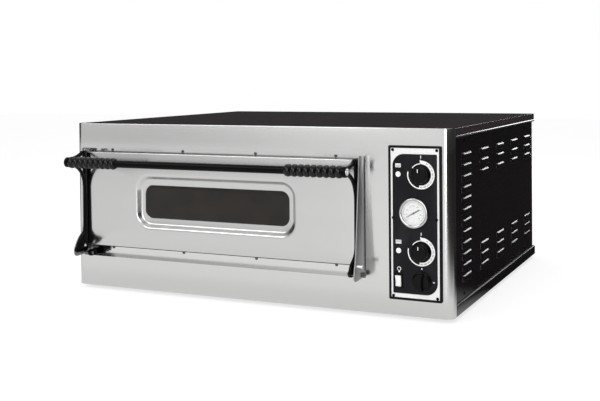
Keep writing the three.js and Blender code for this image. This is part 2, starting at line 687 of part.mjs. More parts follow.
function doorInnerSkin() {
  const { half, bottom, top, rear } = DOOR;
  const clear = THIN + 0.5;
  const pan = doorPan(half - clear, bottom + clear, top - clear, -10.5, rear, THIN, true);
  return cut(pan, glassHole());
}

function doorInsulation() {
  const { half, bottom, top, face, rear } = DOOR;
  const clear = 2 * THIN + 1;
  const front = face - THIN - GAP;
  const back = rear + THIN + GAP;
  const block = box(
    DOOR_X - half + clear, DOOR_X + half - clear, ahead(front), ahead(back), bottom + clear, top - clear,
  );
  const { w, h, r } = WINDOW.rim;
  return cut(block, frontal(centredRect(DOOR_X, WINDOW.z, w + 8, h + 8, r), ahead(30), behind(40)));
}

// The right plate hangs the door on its pivot and shields the controls from the doorway's heat.
function shieldFront(shape) {
  shape.lineTo(ahead(50), 86);
  shape.quadraticCurveTo(ahead(62), 87, ahead(62), 100);
  shape.quadraticCurveTo(ahead(54), 128, ahead(50.5), 149);
  shape.quadraticCurveTo(ahead(43.5), 212, ahead(36.5), 278);
  shape.lineTo(ahead(29), 352.8);
}

// The left plate only hangs the door: a lobe at its foot, and a narrow strip above.
function hangerFront(shape) {
  shape.lineTo(ahead(34), 86.5);
  shape.quadraticCurveTo(ahead(45), 88, ahead(44), 102);
  shape.quadraticCurveTo(ahead(38), 124, ahead(20), 138);
  shape.quadraticCurveTo(ahead(9), 148, ahead(8), 172);
  shape.lineTo(ahead(8), 351.6);
}

function plateOutline(name) {
  const shape = new THREE.Shape();
  shape.moveTo(ahead(-19), DOOR.bottom + 1);
  shape.lineTo(ahead(-4), DOOR.bottom + 1);
  shape.lineTo(ahead(-4), 88.5);
  (name === "right" ? shieldFront : hangerFront)(shape);
  shape.lineTo(ahead(0), 351.2);
  shape.lineTo(ahead(-3), 345);
  shape.lineTo(ahead(-19), DOOR.top);
  for (const { forward, z, r } of [PIVOT, { ...ARM_BOLT, ...ARM_BOLT_AT[name] }]) {
    const hole = new THREE.Path();
    hole.absarc(ahead(forward), z, r + GAP, 0, Math.PI * 2, true);
    shape.holes.push(hole);
  }
  return shape;
}

// Cast arm: foot, column against the door, and a fork to the handle's eye, round a window.
function armOutline() {
  const back = ahead(DOOR.face + GAP);
  const eye = { y: ahead(HANDLE_REACH), z: HANDLE_Z };
  const shape = new THREE.Shape();
  shape.moveTo(back, 99);
  shape.lineTo(ahead(45), 98.5);
  shape.quadraticCurveTo(ahead(56), 98, ahead(54.5), 106);
  shape.quadraticCurveTo(ahead(51), 118, ahead(40), 126);
  shape.quadraticCurveTo(ahead(22), 136, ahead(20), 152);
  shape.lineTo(ahead(19), 255);
  shape.bezierCurveTo(ahead(19), 292, ahead(45), 302, ahead(68), 314);
  shape.absarc(eye.y, eye.z, EYE_R, -Math.PI * 0.2, Math.PI * 0.62, true);
  shape.quadraticCurveTo(ahead(60), 334, ahead(46), 337);
  shape.quadraticCurveTo(ahead(32), 341, ahead(26), 346);
  shape.lineTo(back, 346);
  const window_ = new THREE.Path();
  window_.moveTo(ahead(62), 322);
  window_.quadraticCurveTo(ahead(34), 310, ahead(23), 290);
  window_.quadraticCurveTo(ahead(19.5), 286, ahead(19.5), 294);
  window_.lineTo(ahead(20.5), 334);
  window_.quadraticCurveTo(ahead(22), 338, ahead(30), 334);
  window_.quadraticCurveTo(ahead(45), 328, ahead(60), 326);
  shape.holes.push(window_);
  return shape;
}

function grip(side) {
  const pitch = GRIP_LENGTH / GRIP_RIBS;
  const bore = BAR_R + GAP;
  const profile = [[bore, 0]];
  for (let i = 0; i < GRIP_RIBS; i++) {
    profile.push([11.6, i * pitch], [GRIP_R, (i + 0.3) * pitch], [GRIP_R, (i + 0.7) * pitch]);
  }
  profile.push([11.6, GRIP_LENGTH], [bore, GRIP_LENGTH], [bore, 0]);
  const axis = new THREE.Vector3(side, 0, 0);
  const start = ARM.inner - 0.5 - GRIP_LENGTH;
  return turned(profile, axis, [DOOR_X + side * start, ahead(HANDLE_REACH), HANDLE_Z], 12);
}

function boltOn(side, forward, z, profile, from) {
  const axis = new THREE.Vector3(-side, 0, 0);
  return turned(profile, axis, [DOOR_X + side * from, ahead(forward), z], 14);
}

// The bolt's barrel stands out beside the plate. On the left its shank runs on through the arm.
function armBolt(name, side) {
  const { r, barrel } = ARM_BOLT;
  const { forward, z, out, end } = ARM_BOLT_AT[name];
  const length = PLATE.outer + out - end;
  const head = [[0, 0], [barrel - 1, 0], [barrel, 1.2], [barrel, out - GAP]];
  const shank = [[r, out - GAP], [r, length - 0.8], [r - 0.8, length], [0, length]];
  return boltOn(side, forward, z, [...head, ...shank], PLATE.outer + out);
}

function pivotPin(side) {
  const { r, out } = PIN_HEAD;
  const head = [[0, 0], [r - 1, 0], [r, 1], [r, out - GAP]];
  const tip = [[PIVOT.r, PIN_LENGTH - 1], [PIVOT.r - 1, PIN_LENGTH], [0, PIN_LENGTH]];
  const shank = [[PIVOT.r, out - GAP], ...tip];
  return boltOn(side, PIVOT.forward, PIVOT.z, [...head, ...shank], PLATE.outer + out);
}

function makeDoorSide(name, side) {
  const plate = sideOutline(side, PLATE.inner, PLATE.outer, plateOutline(name), 8);
  piece("door", `${name}_door_plate`, plate, STEEL_DARK);
  const bore = ARM_BOLT.r + GAP;
  const { forward, z, end } = ARM_BOLT_AT[name];
  const depth = PLATE.outer + 5 - end;
  const boreSides = [[0, 0], [bore, 0], [bore, depth], [0, depth]];
  const arm = cut(
    sideOutline(side, ARM.inner, ARM.outer, armOutline(), 8),
    boltOn(side, forward, z, boreSides, PLATE.outer + 5),
  );
  piece("door", `${name}_handle_arm`, arm, BLACK_GLOSS);
  piece("door", `${name}_handle_grip`, grip(side), RUBBER);
  piece("door", `${name}_pivot_pin`, pivotPin(side), CHROME);
  piece("door", `${name}_arm_bolt`, armBolt(name, side), CHROME);
}

function makeDoor() {
  piece("door", "door_outer_skin", doorOuterSkin(), STEEL);
  piece("door", "door_inner_skin", doorInnerSkin(), GALVANISED);
  piece("door", "door_insulation", doorInsulation(), WOOL);
  const { w, h, r } = GLASS;
  const pane = frontal(centredRect(DOOR_X, WINDOW.z, w + 10, h + 12, r), behind(1.6), behind(5.6));
  piece("door", "door_glass", pane, SMOKED_GLASS);
  const retainer = cut(
    frontal(centredRect(DOOR_X, WINDOW.z, w + 26, h + 26, r + 8), behind(6), behind(9)), glassHole(),
  );
  piece("door", "glass_retainer", retainer, GALVANISED);
  const reach = ARM.inner - GAP;
  const bar = rod(BAR_R, 2 * reach, X_AXIS, [DOOR_X - reach, ahead(HANDLE_REACH), HANDLE_Z], 20);
  piece("door", "handle_bar", bar, BLACK_GLOSS);
  for (const [name, side] of SIDES) makeDoorSide(name, side);
}

makeCabinet();
makeChamber();
makeControls();
makeDoor();

export default oven;
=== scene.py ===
"""A single-deck electric baking oven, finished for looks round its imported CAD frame.

Meshes are drawn in millimetres in the row frame (+X right, +Y back, +Z up) and scaled to metres
once, in piece(). Every place is worked out from the frame's own nodes.
"""
import json
import math

import bmesh
import bpy
from mathutils import Matrix, Vector


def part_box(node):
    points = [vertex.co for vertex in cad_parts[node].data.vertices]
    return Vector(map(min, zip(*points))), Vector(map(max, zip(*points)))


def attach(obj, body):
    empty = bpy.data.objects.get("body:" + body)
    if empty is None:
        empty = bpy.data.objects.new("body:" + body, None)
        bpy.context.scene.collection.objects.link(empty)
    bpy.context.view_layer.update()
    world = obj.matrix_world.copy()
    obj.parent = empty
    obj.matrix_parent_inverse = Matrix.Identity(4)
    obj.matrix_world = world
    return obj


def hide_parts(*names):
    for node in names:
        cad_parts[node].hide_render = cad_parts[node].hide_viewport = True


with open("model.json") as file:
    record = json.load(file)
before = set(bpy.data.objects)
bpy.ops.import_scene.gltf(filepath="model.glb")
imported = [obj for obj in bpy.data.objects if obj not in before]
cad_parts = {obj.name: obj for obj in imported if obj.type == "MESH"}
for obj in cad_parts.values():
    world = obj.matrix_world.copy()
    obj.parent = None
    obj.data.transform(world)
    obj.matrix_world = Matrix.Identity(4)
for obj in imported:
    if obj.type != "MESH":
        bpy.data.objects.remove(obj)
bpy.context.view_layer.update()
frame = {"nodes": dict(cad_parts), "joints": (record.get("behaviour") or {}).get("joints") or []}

MM = 0.001
PI = math.pi


# ------------------------------------------------------------------ places, from the frame (mm)
def node_box(name):
    low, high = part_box(name)
    return low / MM, high / MM


def node_spot(name):
    """A node's lowest corner, highest corner and middle."""
    low, high = node_box(name)
    return low, high, (low + high) / 2


def node_middle(name):
    return node_spot(name)[2]


shell_low, shell_high = node_box("front_panel")
HALF_W = shell_high.x
FRONT, WRAP_END = shell_low.y, shell_high.y
BASE, TOP = shell_low.z, shell_high.z
side_low, side_high = node_box("right_side_panel")
cover_low, cover_high = node_box("top_cover")
tray_low, tray_high = node_box("base_tray")
door_low, door_high = node_box("door_outer_skin")
DOOR_X = (door_low.x + door_high.x) / 2
DOOR_HALF = (door_high.x - door_low.x) / 2
DOOR_BOTTOM, DOOR_TOP, DOOR_FACE = door_low.z, door_high.z, door_low.y
OPENING_HALF = DOOR_HALF + 4.4
OPENING_BOTTOM, OPENING_TOP = DOOR_BOTTOM - 28.5, DOOR_TOP + 9
FLANGE_Y = FRONT + 22
CORNER_R = 18
SHEET = 1.5
THIN = 1.2
INK = 0.12
CUT_HALF, CUT_BELOW, CUT_ABOVE = 48, 148, 147
bar_low, bar_high = node_box("handle_bar")
bar_middle = (bar_low + bar_high) / 2
BAR_R = (bar_high.z - bar_low.z) / 2
panel_low, panel_high = node_box("control_bezel")
PANEL_X, PANEL_Z = (panel_low.x + panel_high.x) / 2, (panel_low.z + panel_high.z) / 2
PANEL_W, PANEL_H = panel_high.x - panel_low.x, panel_high.z - panel_low.z

SIDES = (("left", -1), ("right", 1))
LEVELS = ("upper", "lower")


def behind(depth):
    return FRONT + depth


def ahead(distance):
    return FRONT - distance


# Drawing planes: outlines are drawn in the plane's own x and y, and its z is the depth.
def plane(x_axis, y_axis, origin=(0, 0, 0)):
    x, y = Vector(x_axis), Vector(y_axis)
    made = Matrix.Identity(4)
    for column, axis in enumerate((x, y, x.cross(y), Vector(origin))):
        for row in range(3):
            made[row][column] = axis[row]
    return made


def facing_front(y):
    """Outline (x, z), depth growing towards the front from y."""
    return plane((1, 0, 0), (0, 0, 1), (0, y, 0))


def facing_right(x):
    """Outline (y, z), depth growing to the right from x."""
    return plane((0, 1, 0), (0, 0, 1), (x, 0, 0))


def facing_up(z):
    return plane((1, 0, 0), (0, 1, 0), (0, 0, z))


# ------------------------------------------------------------------ outlines
def arc(cx, cy, r, start, end, steps=8):
    return [
        (
            cx + r * math.cos(start + (end - start) * i / steps),
            cy + r * math.sin(start + (end - start) * i / steps),
        )
        for i in range(steps + 1)
    ]


def circle(cx, cy, r, steps=32):
    return arc(cx, cy, r, 0, 2 * PI, steps)[:-1]


def round_rect(cx, cy, w, h, radii, steps=8):
    """Corner radii run anticlockwise from the lower left."""
    a, b, c, d = radii if isinstance(radii, tuple) else (radii,) * 4
    left, right, low, high = cx - w / 2, cx + w / 2, cy - h / 2, cy + h / 2
    return (
        arc(left + a, low + a, a, PI, 1.5 * PI, steps)
        + arc(right - b, low + b, b, 1.5 * PI, 2 * PI, steps)
        + arc(right - c, high - c, c, 0, PI / 2, steps)
        + arc(left + d, high - d, d, PI / 2, PI, steps)
    )


def ring_part(cx, cy, inner, outer, start, end, steps=24):
    """A flat arc band; angles run anticlockwise from +x."""
    return arc(cx, cy, outer, start, end, steps) + arc(cx, cy, inner, end, start, steps)


def curve_to(start, control, end, steps=8):
    """Quadratic curve, without its first point."""
    made = []
    for i in range(1, steps + 1):
        t = i / steps
        near, pull, far = (1 - t) ** 2, 2 * t * (1 - t), t * t
        made.append(tuple(near * s + pull * c + far * e for s, c, e in zip(start, control, end)))
    return made


def outline(start, *stretches):
    """Straight to each (point), or curved to (control, point)."""
    made = [start]
    for stretch in stretches:
        if isinstance(stretch[0], tuple):
            made += curve_to(made[-1], *stretch)
        else:
            made.append(stretch)
    return made


# ------------------------------------------------------------------ meshes
def baked(obj):
    """The helper object's final mesh; the helper goes away."""
    graph = bpy.context.evaluated_depsgraph_get()
    mesh = bpy.data.meshes.new_from_object(obj.evaluated_get(graph))
    bpy.data.objects.remove(obj)
    return mesh


def helper(data):
    obj = bpy.data.objects.new("helper", data)
    bpy.context.scene.collection.objects.link(obj)
    return obj


def mesh_from(points, faces):
    mesh = bpy.data.meshes.new("mesh")
    mesh.from_pydata([tuple(p) for p in points], [], faces)
    return mesh


def welded(mesh, distance=1e-4):
    bm = bmesh.new()
    bm.from_mesh(mesh)
    bmesh.ops.remove_doubles(bm, verts=bm.verts, dist=distance)
    bmesh.ops.recalc_face_normals(bm, faces=bm.faces)
    bm.to_mesh(mesh)
    bm.free()
    return mesh


def slab(loops, depth, where, bevel=0.0, steps=2):
    """Closed outlines, a rim and then its holes, given a depth and rounded edges."""
    curve = bpy.data.curves.new("outline", "CURVE")
    curve.dimensions = "2D"
    curve.fill_mode = "BOTH"
    curve.extrude = depth / 2 - bevel
    curve.bevel_depth = bevel
    curve.bevel_resolution = steps
    curve.offset = -bevel
    for loop in loops:
        spline = curve.splines.new("POLY")
        spline.points.add(len(loop) - 1)
        for point, (x, y) in zip(spline.points, loop):
            point.co = (x, y, 0, 1)
        spline.use_cyclic_u = True
    mesh = baked(helper(curve))
    mesh.transform(where @ Matrix.Translation((0, 0, depth / 2)))
    return welded(mesh)


def lathe(profile, at, axis, segments=48):
    """(radius, distance) turned round an axis through `at`; a radius of 0 closes the end."""
    turn = Vector((0, 0, 1)).rotation_difference(Vector(axis)).to_matrix().to_4x4()
    where = Matrix.Translation(at) @ turn
    points, rings = [], []
    for r, along in profile:
        count = segments if r > 0 else 1
        rings.append(list(range(len(points), len(points) + count)))
        for i in range(count):
            angle = 2 * PI * i / segments
            points.append(where @ Vector((r * math.cos(angle), r * math.sin(angle), along)))
    faces = []
    for lower, upper in zip(rings, rings[1:]):
        for i in range(segments):
            j = (i + 1) % segments
            corners = [
                lower[i % len(lower)], lower[j % len(lower)], upper[j % len(upper)], upper[i % len(upper)]
            ]
            face = list(dict.fromkeys(corners))
            if len(face) > 2:
                faces.append(face)
    return welded(mesh_from(points, faces))


def tube(points, r, steps=8):
    curve = bpy.data.curves.new("path", "CURVE")
    curve.dimensions = "3D"
    curve.bevel_depth = r
    curve.bevel_resolution = steps
    curve.use_fill_caps = True
    spline = curve.splines.new("POLY")
    spline.points.add(len(points) - 1)
    for point, place in zip(spline.points, points):
        point.co = (*place, 1)
    return welded(baked(helper(curve)))


def skin(rows, closed=False):
    """Quads between rows of points; a closed row runs round."""
    points = [p for row in rows for p in row]
    n = len(rows[0])
    faces = []
    for r in range(len(rows) - 1):
        for i in range(n if closed else n - 1):
            j = (i + 1) % n
            faces.append((r * n + i, r * n + j, (r + 1) * n + j, (r + 1) * n + i))
    return mesh_from(points, faces)


def thickened(mesh, thickness, offset=-1):
    obj = helper(welded(mesh))
    solidify = obj.modifiers.new("sheet", "SOLIDIFY")
    solidify.thickness = thickness
    solidify.offset = offset
    solidify.use_even_offset = True
    return baked(obj)


def rounded_box(low, high, r, segments=3):
    bm = bmesh.new()
    bmesh.ops.create_cube(bm, size=1)
    low, high = Vector(low), Vector(high)
    for v in bm.verts:
        v.co = Vector(l + (h - l) * (c + 0.5) for l, h, c in zip(low, high, v.co))
    bmesh.ops.bevel(bm, geom=bm.edges[:], offset=r, segments=segments, profile=0.5, affect="EDGES")
    mesh = bpy.data.meshes.new("mesh")
    bm.to_mesh(mesh)
    bm.free()
    return mesh


def joined(*meshes):
    bm = bmesh.new()
    for mesh in meshes:
        bm.from_mesh(mesh)
    made = bpy.data.meshes.new("mesh")
    bm.to_mesh(made)
    bm.free()
    return made


def mirrored(mesh):
    made = mesh.copy()
    made.transform(Matrix.Scale(-1, 4, (1, 0, 0)))
    made.flip_normals()
    return made


def lettering(text, size, x, z, where, depth=0.08, turn=0.0):
    font = bpy.data.curves.new("text", "FONT")
    font.body = text
    font.size = size
    font.align_x = "CENTER"
    font.align_y = "CENTER"
    font.extrude = depth / 2
    font.resolution_u = 3
    mesh = baked(helper(font))
    mesh.transform(where @ Matrix.Translation((x, z, depth / 2)) @ Matrix.Rotation(turn, 4, "Z"))
    return mesh


def piece(name, mesh, material, body="cabinet", replaces=(), sharp=35):
    """A finished piece in metres, on its body, with its material and the nodes that it stands for.
    """
    mesh.transform(Matrix.Scale(MM, 4))
    mesh.name = name
    mesh.materials.clear()
    mesh.materials.append(material)
    mesh.shade_smooth()
    mesh.set_sharp_from_angle(angle=math.radians(sharp))
    obj = bpy.data.objects.new(name, mesh)
    bpy.context.scene.collection.objects.link(obj)
    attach(obj, body)
    if replaces:
        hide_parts(*([replaces] if isinstance(replaces, str) else replaces))
    return obj


# ------------------------------------------------------------------ materials
class Graph:
    """A node tree, with the few kinds of node that materials and the world share."""

    def __init__(self, tree):
        self.nodes, self.links = tree.nodes, tree.links

    def spread(self, socket, low, high, to_low=0.0, to_high=1.0, smooth=False):
        made = self.nodes.new("ShaderNodeMapRange")
        if smooth:
            made.interpolation_type = "SMOOTHSTEP"
        self.links.new(socket, made.inputs["Value"])
        for key, value in zip(("From Min", "From Max", "To Min", "To Max"), (low, high, to_low, to_high)):
            made.inputs[key].default_value = value
        return made.outputs["Result"]

    def maths(self, operation, a, b):
        made = self.nodes.new("ShaderNodeMath")
        made.operation = operation
        for i, value in enumerate((a, b)):
            if isinstance(value, bpy.types.NodeSocket):
                self.links.new(value, made.inputs[i])
            else:
                made.inputs[i].default_value = value
        return made.outputs[0]


class Surface(Graph):
    """One procedural material, built up from its base finish."""

    def __init__(self, name, color, metallic=0.0, roughness=0.5, **sockets):
        self.mat = bpy.data.materials.new(name)
        self.mat.use_nodes = True
        super().__init__(self.mat.node_tree)
        self.shader = self.nodes["Principled BSDF"]
        self.coords = self.nodes.new("ShaderNodeTexCoord").outputs["Object"]
        self.color = color
        self.put("Base Color", (*color, 1))
        self.put("Metallic", metallic)
        self.put("Roughness", roughness)
        for socket, value in sockets.items():
            self.put(socket.replace("_", " "), value)
        self.normal = None

    def put(self, socket, value):
        target = self.shader.inputs[socket]
        if isinstance(value, bpy.types.NodeSocket):
            self.links.new(value, target)
        else:
            target.default_value = value

    def noise(self, scale, stretch=(1, 1, 1), detail=3.0, roughness=0.5):
        mapping = self.nodes.new("ShaderNodeMapping")
        mapping.inputs["Scale"].default_value = stretch
        self.links.new(self.coords, mapping.inputs["Vector"])
        made = self.nodes.new("ShaderNodeTexNoise")
        made.inputs["Scale"].default_value = scale
        made.inputs["Detail"].default_value = detail
        made.inputs["Roughness"].default_value = roughness
        self.links.new(mapping.outputs["Vector"], made.inputs["Vector"])
        return made.outputs["Fac"]

    def cells(self, scale, feature="F1", stretch=(1, 1, 1)):
        mapping = self.nodes.new("ShaderNodeMapping")
        mapping.inputs["Scale"].default_value = stretch
        self.links.new(self.coords, mapping.inputs["Vector"])
        made = self.nodes.new("ShaderNodeTexVoronoi")
        made.feature = feature
        made.inputs["Scale"].default_value = scale
        self.links.new(mapping.outputs["Vector"], made.inputs["Vector"])
        return made.outputs["Distance"]

    def blend(self, factor, a, b):
        made = self.nodes.new("ShaderNodeMix")
        made.data_type = "RGBA"
        self.links.new(factor, made.inputs["Factor"])
        for key, value in (("A", a), ("B", b)):
            target = [s for s in made.inputs if s.name == key and s.type == "RGBA"][0]
            if isinstance(value, bpy.types.NodeSocket):
                self.links.new(value, target)
            else:
                target.default_value = (*value, 1)
        return [s for s in made.outputs if s.type == "RGBA"][0]

    def edges(self, radius):
        """1 at rounded edges, where wear and a painted edge highlight go, and 0 on flat stretches."""
        bevel = self.nodes.new("ShaderNodeBevel")
        bevel.samples = 4
        bevel.inputs["Radius"].default_value = radius
        plain = self.nodes.new("ShaderNodeNewGeometry")
        dot = self.nodes.new("ShaderNodeVectorMath")
        dot.operation = "DOT_PRODUCT"
        self.links.new(bevel.outputs["Normal"], dot.inputs[0])
        self.links.new(plain.outputs["Normal"], dot.inputs[1])
        return self.spread(dot.outputs["Value"], 0.995, 0.86)

    def bump(self, height, distance, strength=1.0):
        made = self.nodes.new("ShaderNodeBump")
        made.inputs["Strength"].default_value = strength
        made.inputs["Distance"].default_value = distance
        self.links.new(height, made.inputs["Height"])
        if self.normal is not None:
            self.links.new(self.normal, made.inputs["Normal"])
        self.normal = made.outputs["Normal"]
        self.put("Normal", self.normal)
        return self

    def grain_along(self, axis):
        """Turns the anisotropic highlight across a grain that runs round the given axis."""
        made = self.nodes.new("ShaderNodeTangent")
        made.direction_type = "RADIAL"
        made.axis = axis
        self.put("Tangent", made.outputs["Tangent"])
        return self


def shade(color, factor):
    return tuple(min(1.0, c * factor) for c in color)


def brushed(name, color, roughness, along="x", contrast=0.03, anisotropy=0.75):
    """Sheet steel with a fine straight grain, faint rolling bands and handling marks."""
    made = Surface(name, color, metallic=1.0, roughness=roughness)
    long, across = 2.2, 260.0
    stretch = {"x": (long, across, across), "y": (across, long, across), "z": (across, across, long)}[along]
    fine = made.noise(7.0, stretch, detail=4, roughness=0.7)
    bands = made.noise(0.9, tuple(s / 14 if s == across else s / 2 for s in stretch), detail=2)
    marks = made.noise(9.0, (1, 1, 1), detail=5, roughness=0.6)
    mixed = made.maths("ADD", made.maths("MULTIPLY", fine, 0.65), made.maths("MULTIPLY", bands, 0.35))
    factor = made.spread(mixed, 0.35, 0.65)
    made.put("Base Color", made.blend(factor, shade(color, 1 - contrast), shade(color, 1 + contrast)))
    haze = made.maths("ADD", made.maths("MULTIPLY", fine, 0.08), made.maths("MULTIPLY", marks, 0.05))
    made.put("Roughness", made.maths("ADD", haze, roughness - 0.065))
    made.put("Anisotropic", anisotropy)
    made.put("Anisotropic Rotation", 0.25)
    made.grain_along("Z")
    made.bump(fine, 0.00002, 0.2)
    return made.mat


def gloss_black(name, color, roughness, peel=0.3, edge_wear_and_highlight=(0.16, 0.155, 0.16), specular=0.3):
    """Stoved gloss enamel: slight orange peel, dust in the haze, and rubbed edges lightened towards a pale
    grey, part real wear and part painted edge highlight.
    """
    made = Surface(name, color, roughness=roughness, Specular_IOR_Level=specular)
    dust = made.noise(14, detail=6, roughness=0.65)
    rub = made.noise(90, detail=3)
    # Edge colour: patchy pale grey on rounded edges, part real wear and part painted highlight where edges
    # catch the light.
    edge = made.maths("MULTIPLY", made.edges(0.0009), made.spread(rub, 0.42, 0.62))
    dusty = made.blend(made.spread(dust, 0.45, 0.8), color, shade(color, 1.3))
    made.put("Base Color", made.blend(made.maths("MULTIPLY", edge, 0.45), dusty, edge_wear_and_highlight))
    made.put("Roughness", made.spread(dust, 0.3, 0.75, roughness * 0.92, roughness * 1.1))
    made.bump(made.noise(420, detail=2), 0.00002, peel)
    return made.mat


def plastic(name, color, roughness, texture=0.35, scale=900, specular=0.3):
    """Moulded plastic with a fine spark-eroded texture and uneven sheen."""
    made = Surface(name, color, roughness=roughness, Specular_IOR_Level=specular)
    tone = made.noise(30, detail=4)
    made.put("Base Color", made.blend(made.spread(tone, 0.35, 0.7), shade(color, 0.85), shade(color, 1.25)))
    made.put("Roughness", made.spread(made.noise(55, detail=3), 0.3, 0.7, roughness - 0.06, roughness + 0.08))
    made.bump(made.noise(scale, detail=2), 0.00005, texture)
    return made.mat


def bright_metal(name, color, roughness):
    """Plated or polished metal with faint turning lines and fingerprints."""
    made = Surface(name, color, metallic=1.0, roughness=roughness)
    smear = made.noise(60, detail=4, roughness=0.6)
    made.put("Roughness", made.spread(smear, 0.3, 0.75, roughness * 0.7, roughness * 1.8))
    made.put("Base Color", made.blend(made.spread(smear, 0.4, 0.8), color, shade(color, 0.86)))
    made.bump(made.noise(700, detail=1), 0.00001, 0.3)
    return made.mat


def zinc_coated():
    made = Surface("zinc_sheet", (0.50, 0.52, 0.53), metallic=0.75, roughness=0.42)
    flakes = made.cells(75, "F1")
    tone = made.noise(22, detail=3)
    factor = made.spread(made.maths("ADD", flakes, made.maths("MULTIPLY", tone, 0.8)), 0.4, 1.2)
    made.put("Base Color", made.blend(factor, (0.40, 0.42, 0.44), (0.60, 0.62, 0.63)))
    made.put("Roughness", made.spread(flakes, 0.0, 0.9, 0.34, 0.52))
    made.bump(tone, 0.0001, 0.1)
    return made.mat


def oven_steel():
    """Heat-dulled chamber sheet: straw and blue tints, baked-on specks."""
    color = (0.36, 0.35, 0.33)
    made = Surface("oven_steel", color, metallic=0.9, roughness=0.45)
    heat = made.noise(5, detail=4, roughness=0.6)
    specks = made.spread(made.noise(260, detail=2), 0.68, 0.74)
    tinted = made.blend(made.spread(heat, 0.35, 0.7), color, (0.30, 0.22, 0.14))
    made.put("Base Color", made.blend(specks, tinted, (0.05, 0.035, 0.025)))
    made.put("Roughness", made.spread(heat, 0.3, 0.7, 0.36, 0.6))
    made.bump(made.noise(120, (0.2, 1, 1), detail=4), 0.00008, 0.3)
    return made.mat


def chamotte():
    """Fired stone: sandy grain, darker grog, toasted patches."""
    made = Surface("chamotte", (0.56, 0.47, 0.35), roughness=0.92)
    grain = made.noise(420, detail=6, roughness=0.75)
    grog = made.spread(made.cells(240), 0.08, 0.2)
    toast = made.spread(made.noise(7, detail=4), 0.45, 0.72)
    sandy = made.blend(grain, (0.44, 0.35, 0.24), (0.66, 0.57, 0.44))
    pitted = made.blend(grog, (0.36, 0.27, 0.18), sandy)
    made.put("Base Color", made.blend(made.maths("MULTIPLY", toast, 0.6), pitted, (0.22, 0.14, 0.08)))
    made.bump(grain, 0.0006, 0.5)
    return made.mat


def mineral_wool():
    made = Surface("mineral_wool", (0.42, 0.35, 0.20), roughness=1.0, Sheen_Weight=0.3)
    fibre = made.noise(60, (9, 1.2, 1), detail=8, roughness=0.75)
    clump = made.noise(25, detail=4)
    made.put(
        "Base Color",
        made.blend(made.maths("MULTIPLY", fibre, clump), (0.26, 0.21, 0.11), (0.78, 0.68, 0.42)),
    )
    made.bump(fibre, 0.0025, 0.8)
    return made.mat


def smoked_glass():
    made = Surface(
        "smoked_glass", (0.03, 0.024, 0.018), roughness=0.05, Transmission_Weight=0.5, IOR=1.47,
        Specular_IOR_Level=0.12,
    )
    film = made.noise(16, detail=5, roughness=0.6)
    made.put("Roughness", made.spread(film, 0.3, 0.8, 0.03, 0.14))
    made.put(
        "Base Color", made.blend(made.spread(film, 0.3, 0.8), (0.014, 0.011, 0.008), (0.034, 0.026, 0.019))
    )
    return made.mat


def clear_glass(name, tint=(0.9, 0.92, 0.92)):
    """A thin flat pane: nearly all see-through, with a faint film."""
    made = Surface(name, tint, roughness=0.03, Alpha=0.12)
    made.put("Roughness", made.spread(made.noise(90, detail=4), 0.4, 0.8, 0.01, 0.08))
    return made.mat


def heater_sheath():
    made = Surface("heater_sheath", (0.10, 0.09, 0.085), metallic=0.8, roughness=0.55)
    scale = made.noise(160, detail=5, roughness=0.7)
    made.put(
        "Base Color", made.blend(made.spread(scale, 0.35, 0.7), (0.05, 0.045, 0.045), (0.20, 0.16, 0.13))
    )
    made.put("Roughness", made.spread(scale, 0.3, 0.7, 0.42, 0.75))
    made.bump(scale, 0.0001, 0.5)
    return made.mat


def printed(name, color, roughness=0.45):
    """Screen-printed ink: a slightly uneven film."""
    made = Surface(name, color, roughness=roughness)
    film = made.noise(260, detail=3)
    made.put("Base Color", made.blend(made.spread(film, 0.3, 0.7), shade(color, 0.93), shade(color, 1.03)))
    made.put("Roughness", made.spread(film, 0.3, 0.7, roughness - 0.08, roughness + 0.08))
    made.bump(film, 0.00002, 0.2)
    return made.mat


STEEL = brushed("brushed_steel", (0.63, 0.63, 0.625), 0.16)
DOOR_STEEL = brushed("door_steel", (0.58, 0.58, 0.575), 0.19)
# A darker copy of the brushed steel for the door's side plates: painted dark reflection of the surroundings
# beside them.
STEEL_PLATE = brushed("plate_steel", (0.36, 0.355, 0.355), 0.33, along="z", contrast=0.08, anisotropy=0.2)
# Lighter than the front panel's steel to make up for the door's shadow on the recessed flange: painted light.
FLANGE_STEEL_PAINTED_LIGHT = brushed("flange_steel_painted_light", (0.66, 0.66, 0.655), 0.13)
ZINC = zinc_coated()
CHROME = bright_metal("bright_nickel", (0.82, 0.82, 0.82), 0.12)
# A darker copy of the plated metal, for the flange screws and hinge pins; on the flange screws the darkness
# is painted shade round the heads.
DARK_SCREW_METAL = bright_metal("dark_screw_metal", (0.16, 0.16, 0.16), 0.3)
# A darker copy of the plated metal for the thermometer rim: painted shade that dims its reflections.
GAUGE_RIM_METAL = bright_metal("gauge_metal_painted_shade", (0.50, 0.50, 0.50), 0.14)
# The two enamels below lighten their edges to a pale grey: part wear, part painted edge highlight.
BLACK_PAINT = gloss_black("black_enamel", (0.006, 0.0052, 0.0066), 0.2, edge_wear_and_highlight=(0.4, 0.39, 0.4), specular=0.3)
COVER_PAINT = gloss_black("cover_enamel", (0.031, 0.024, 0.028), 0.16, edge_wear_and_highlight=(0.4, 0.39, 0.4), specular=0.3)
BLACK_CAST = gloss_black(
    "cast_black", (0.002, 0.0019, 0.0019), 0.16, peel=0.5, edge_wear_and_highlight=(0.012, 0.012, 0.012), specular=0.06
)
BLACK_PLASTIC = plastic("black_plastic", (0.004, 0.004, 0.0045), 0.42, specular=0.1)
OVERLAY_BLACK = plastic("panel_film", (0.006, 0.0055, 0.0075), 0.36, texture=0.2, specular=0.12)
KNOB_PLASTIC = plastic("knob_plastic", (0.002, 0.002, 0.0022), 0.24, texture=0.25, specular=0.12)
GRIP_RUBBER = plastic("grip_rubber", (0.0015, 0.0015, 0.0016), 0.15, texture=0.15, specular=0.26)
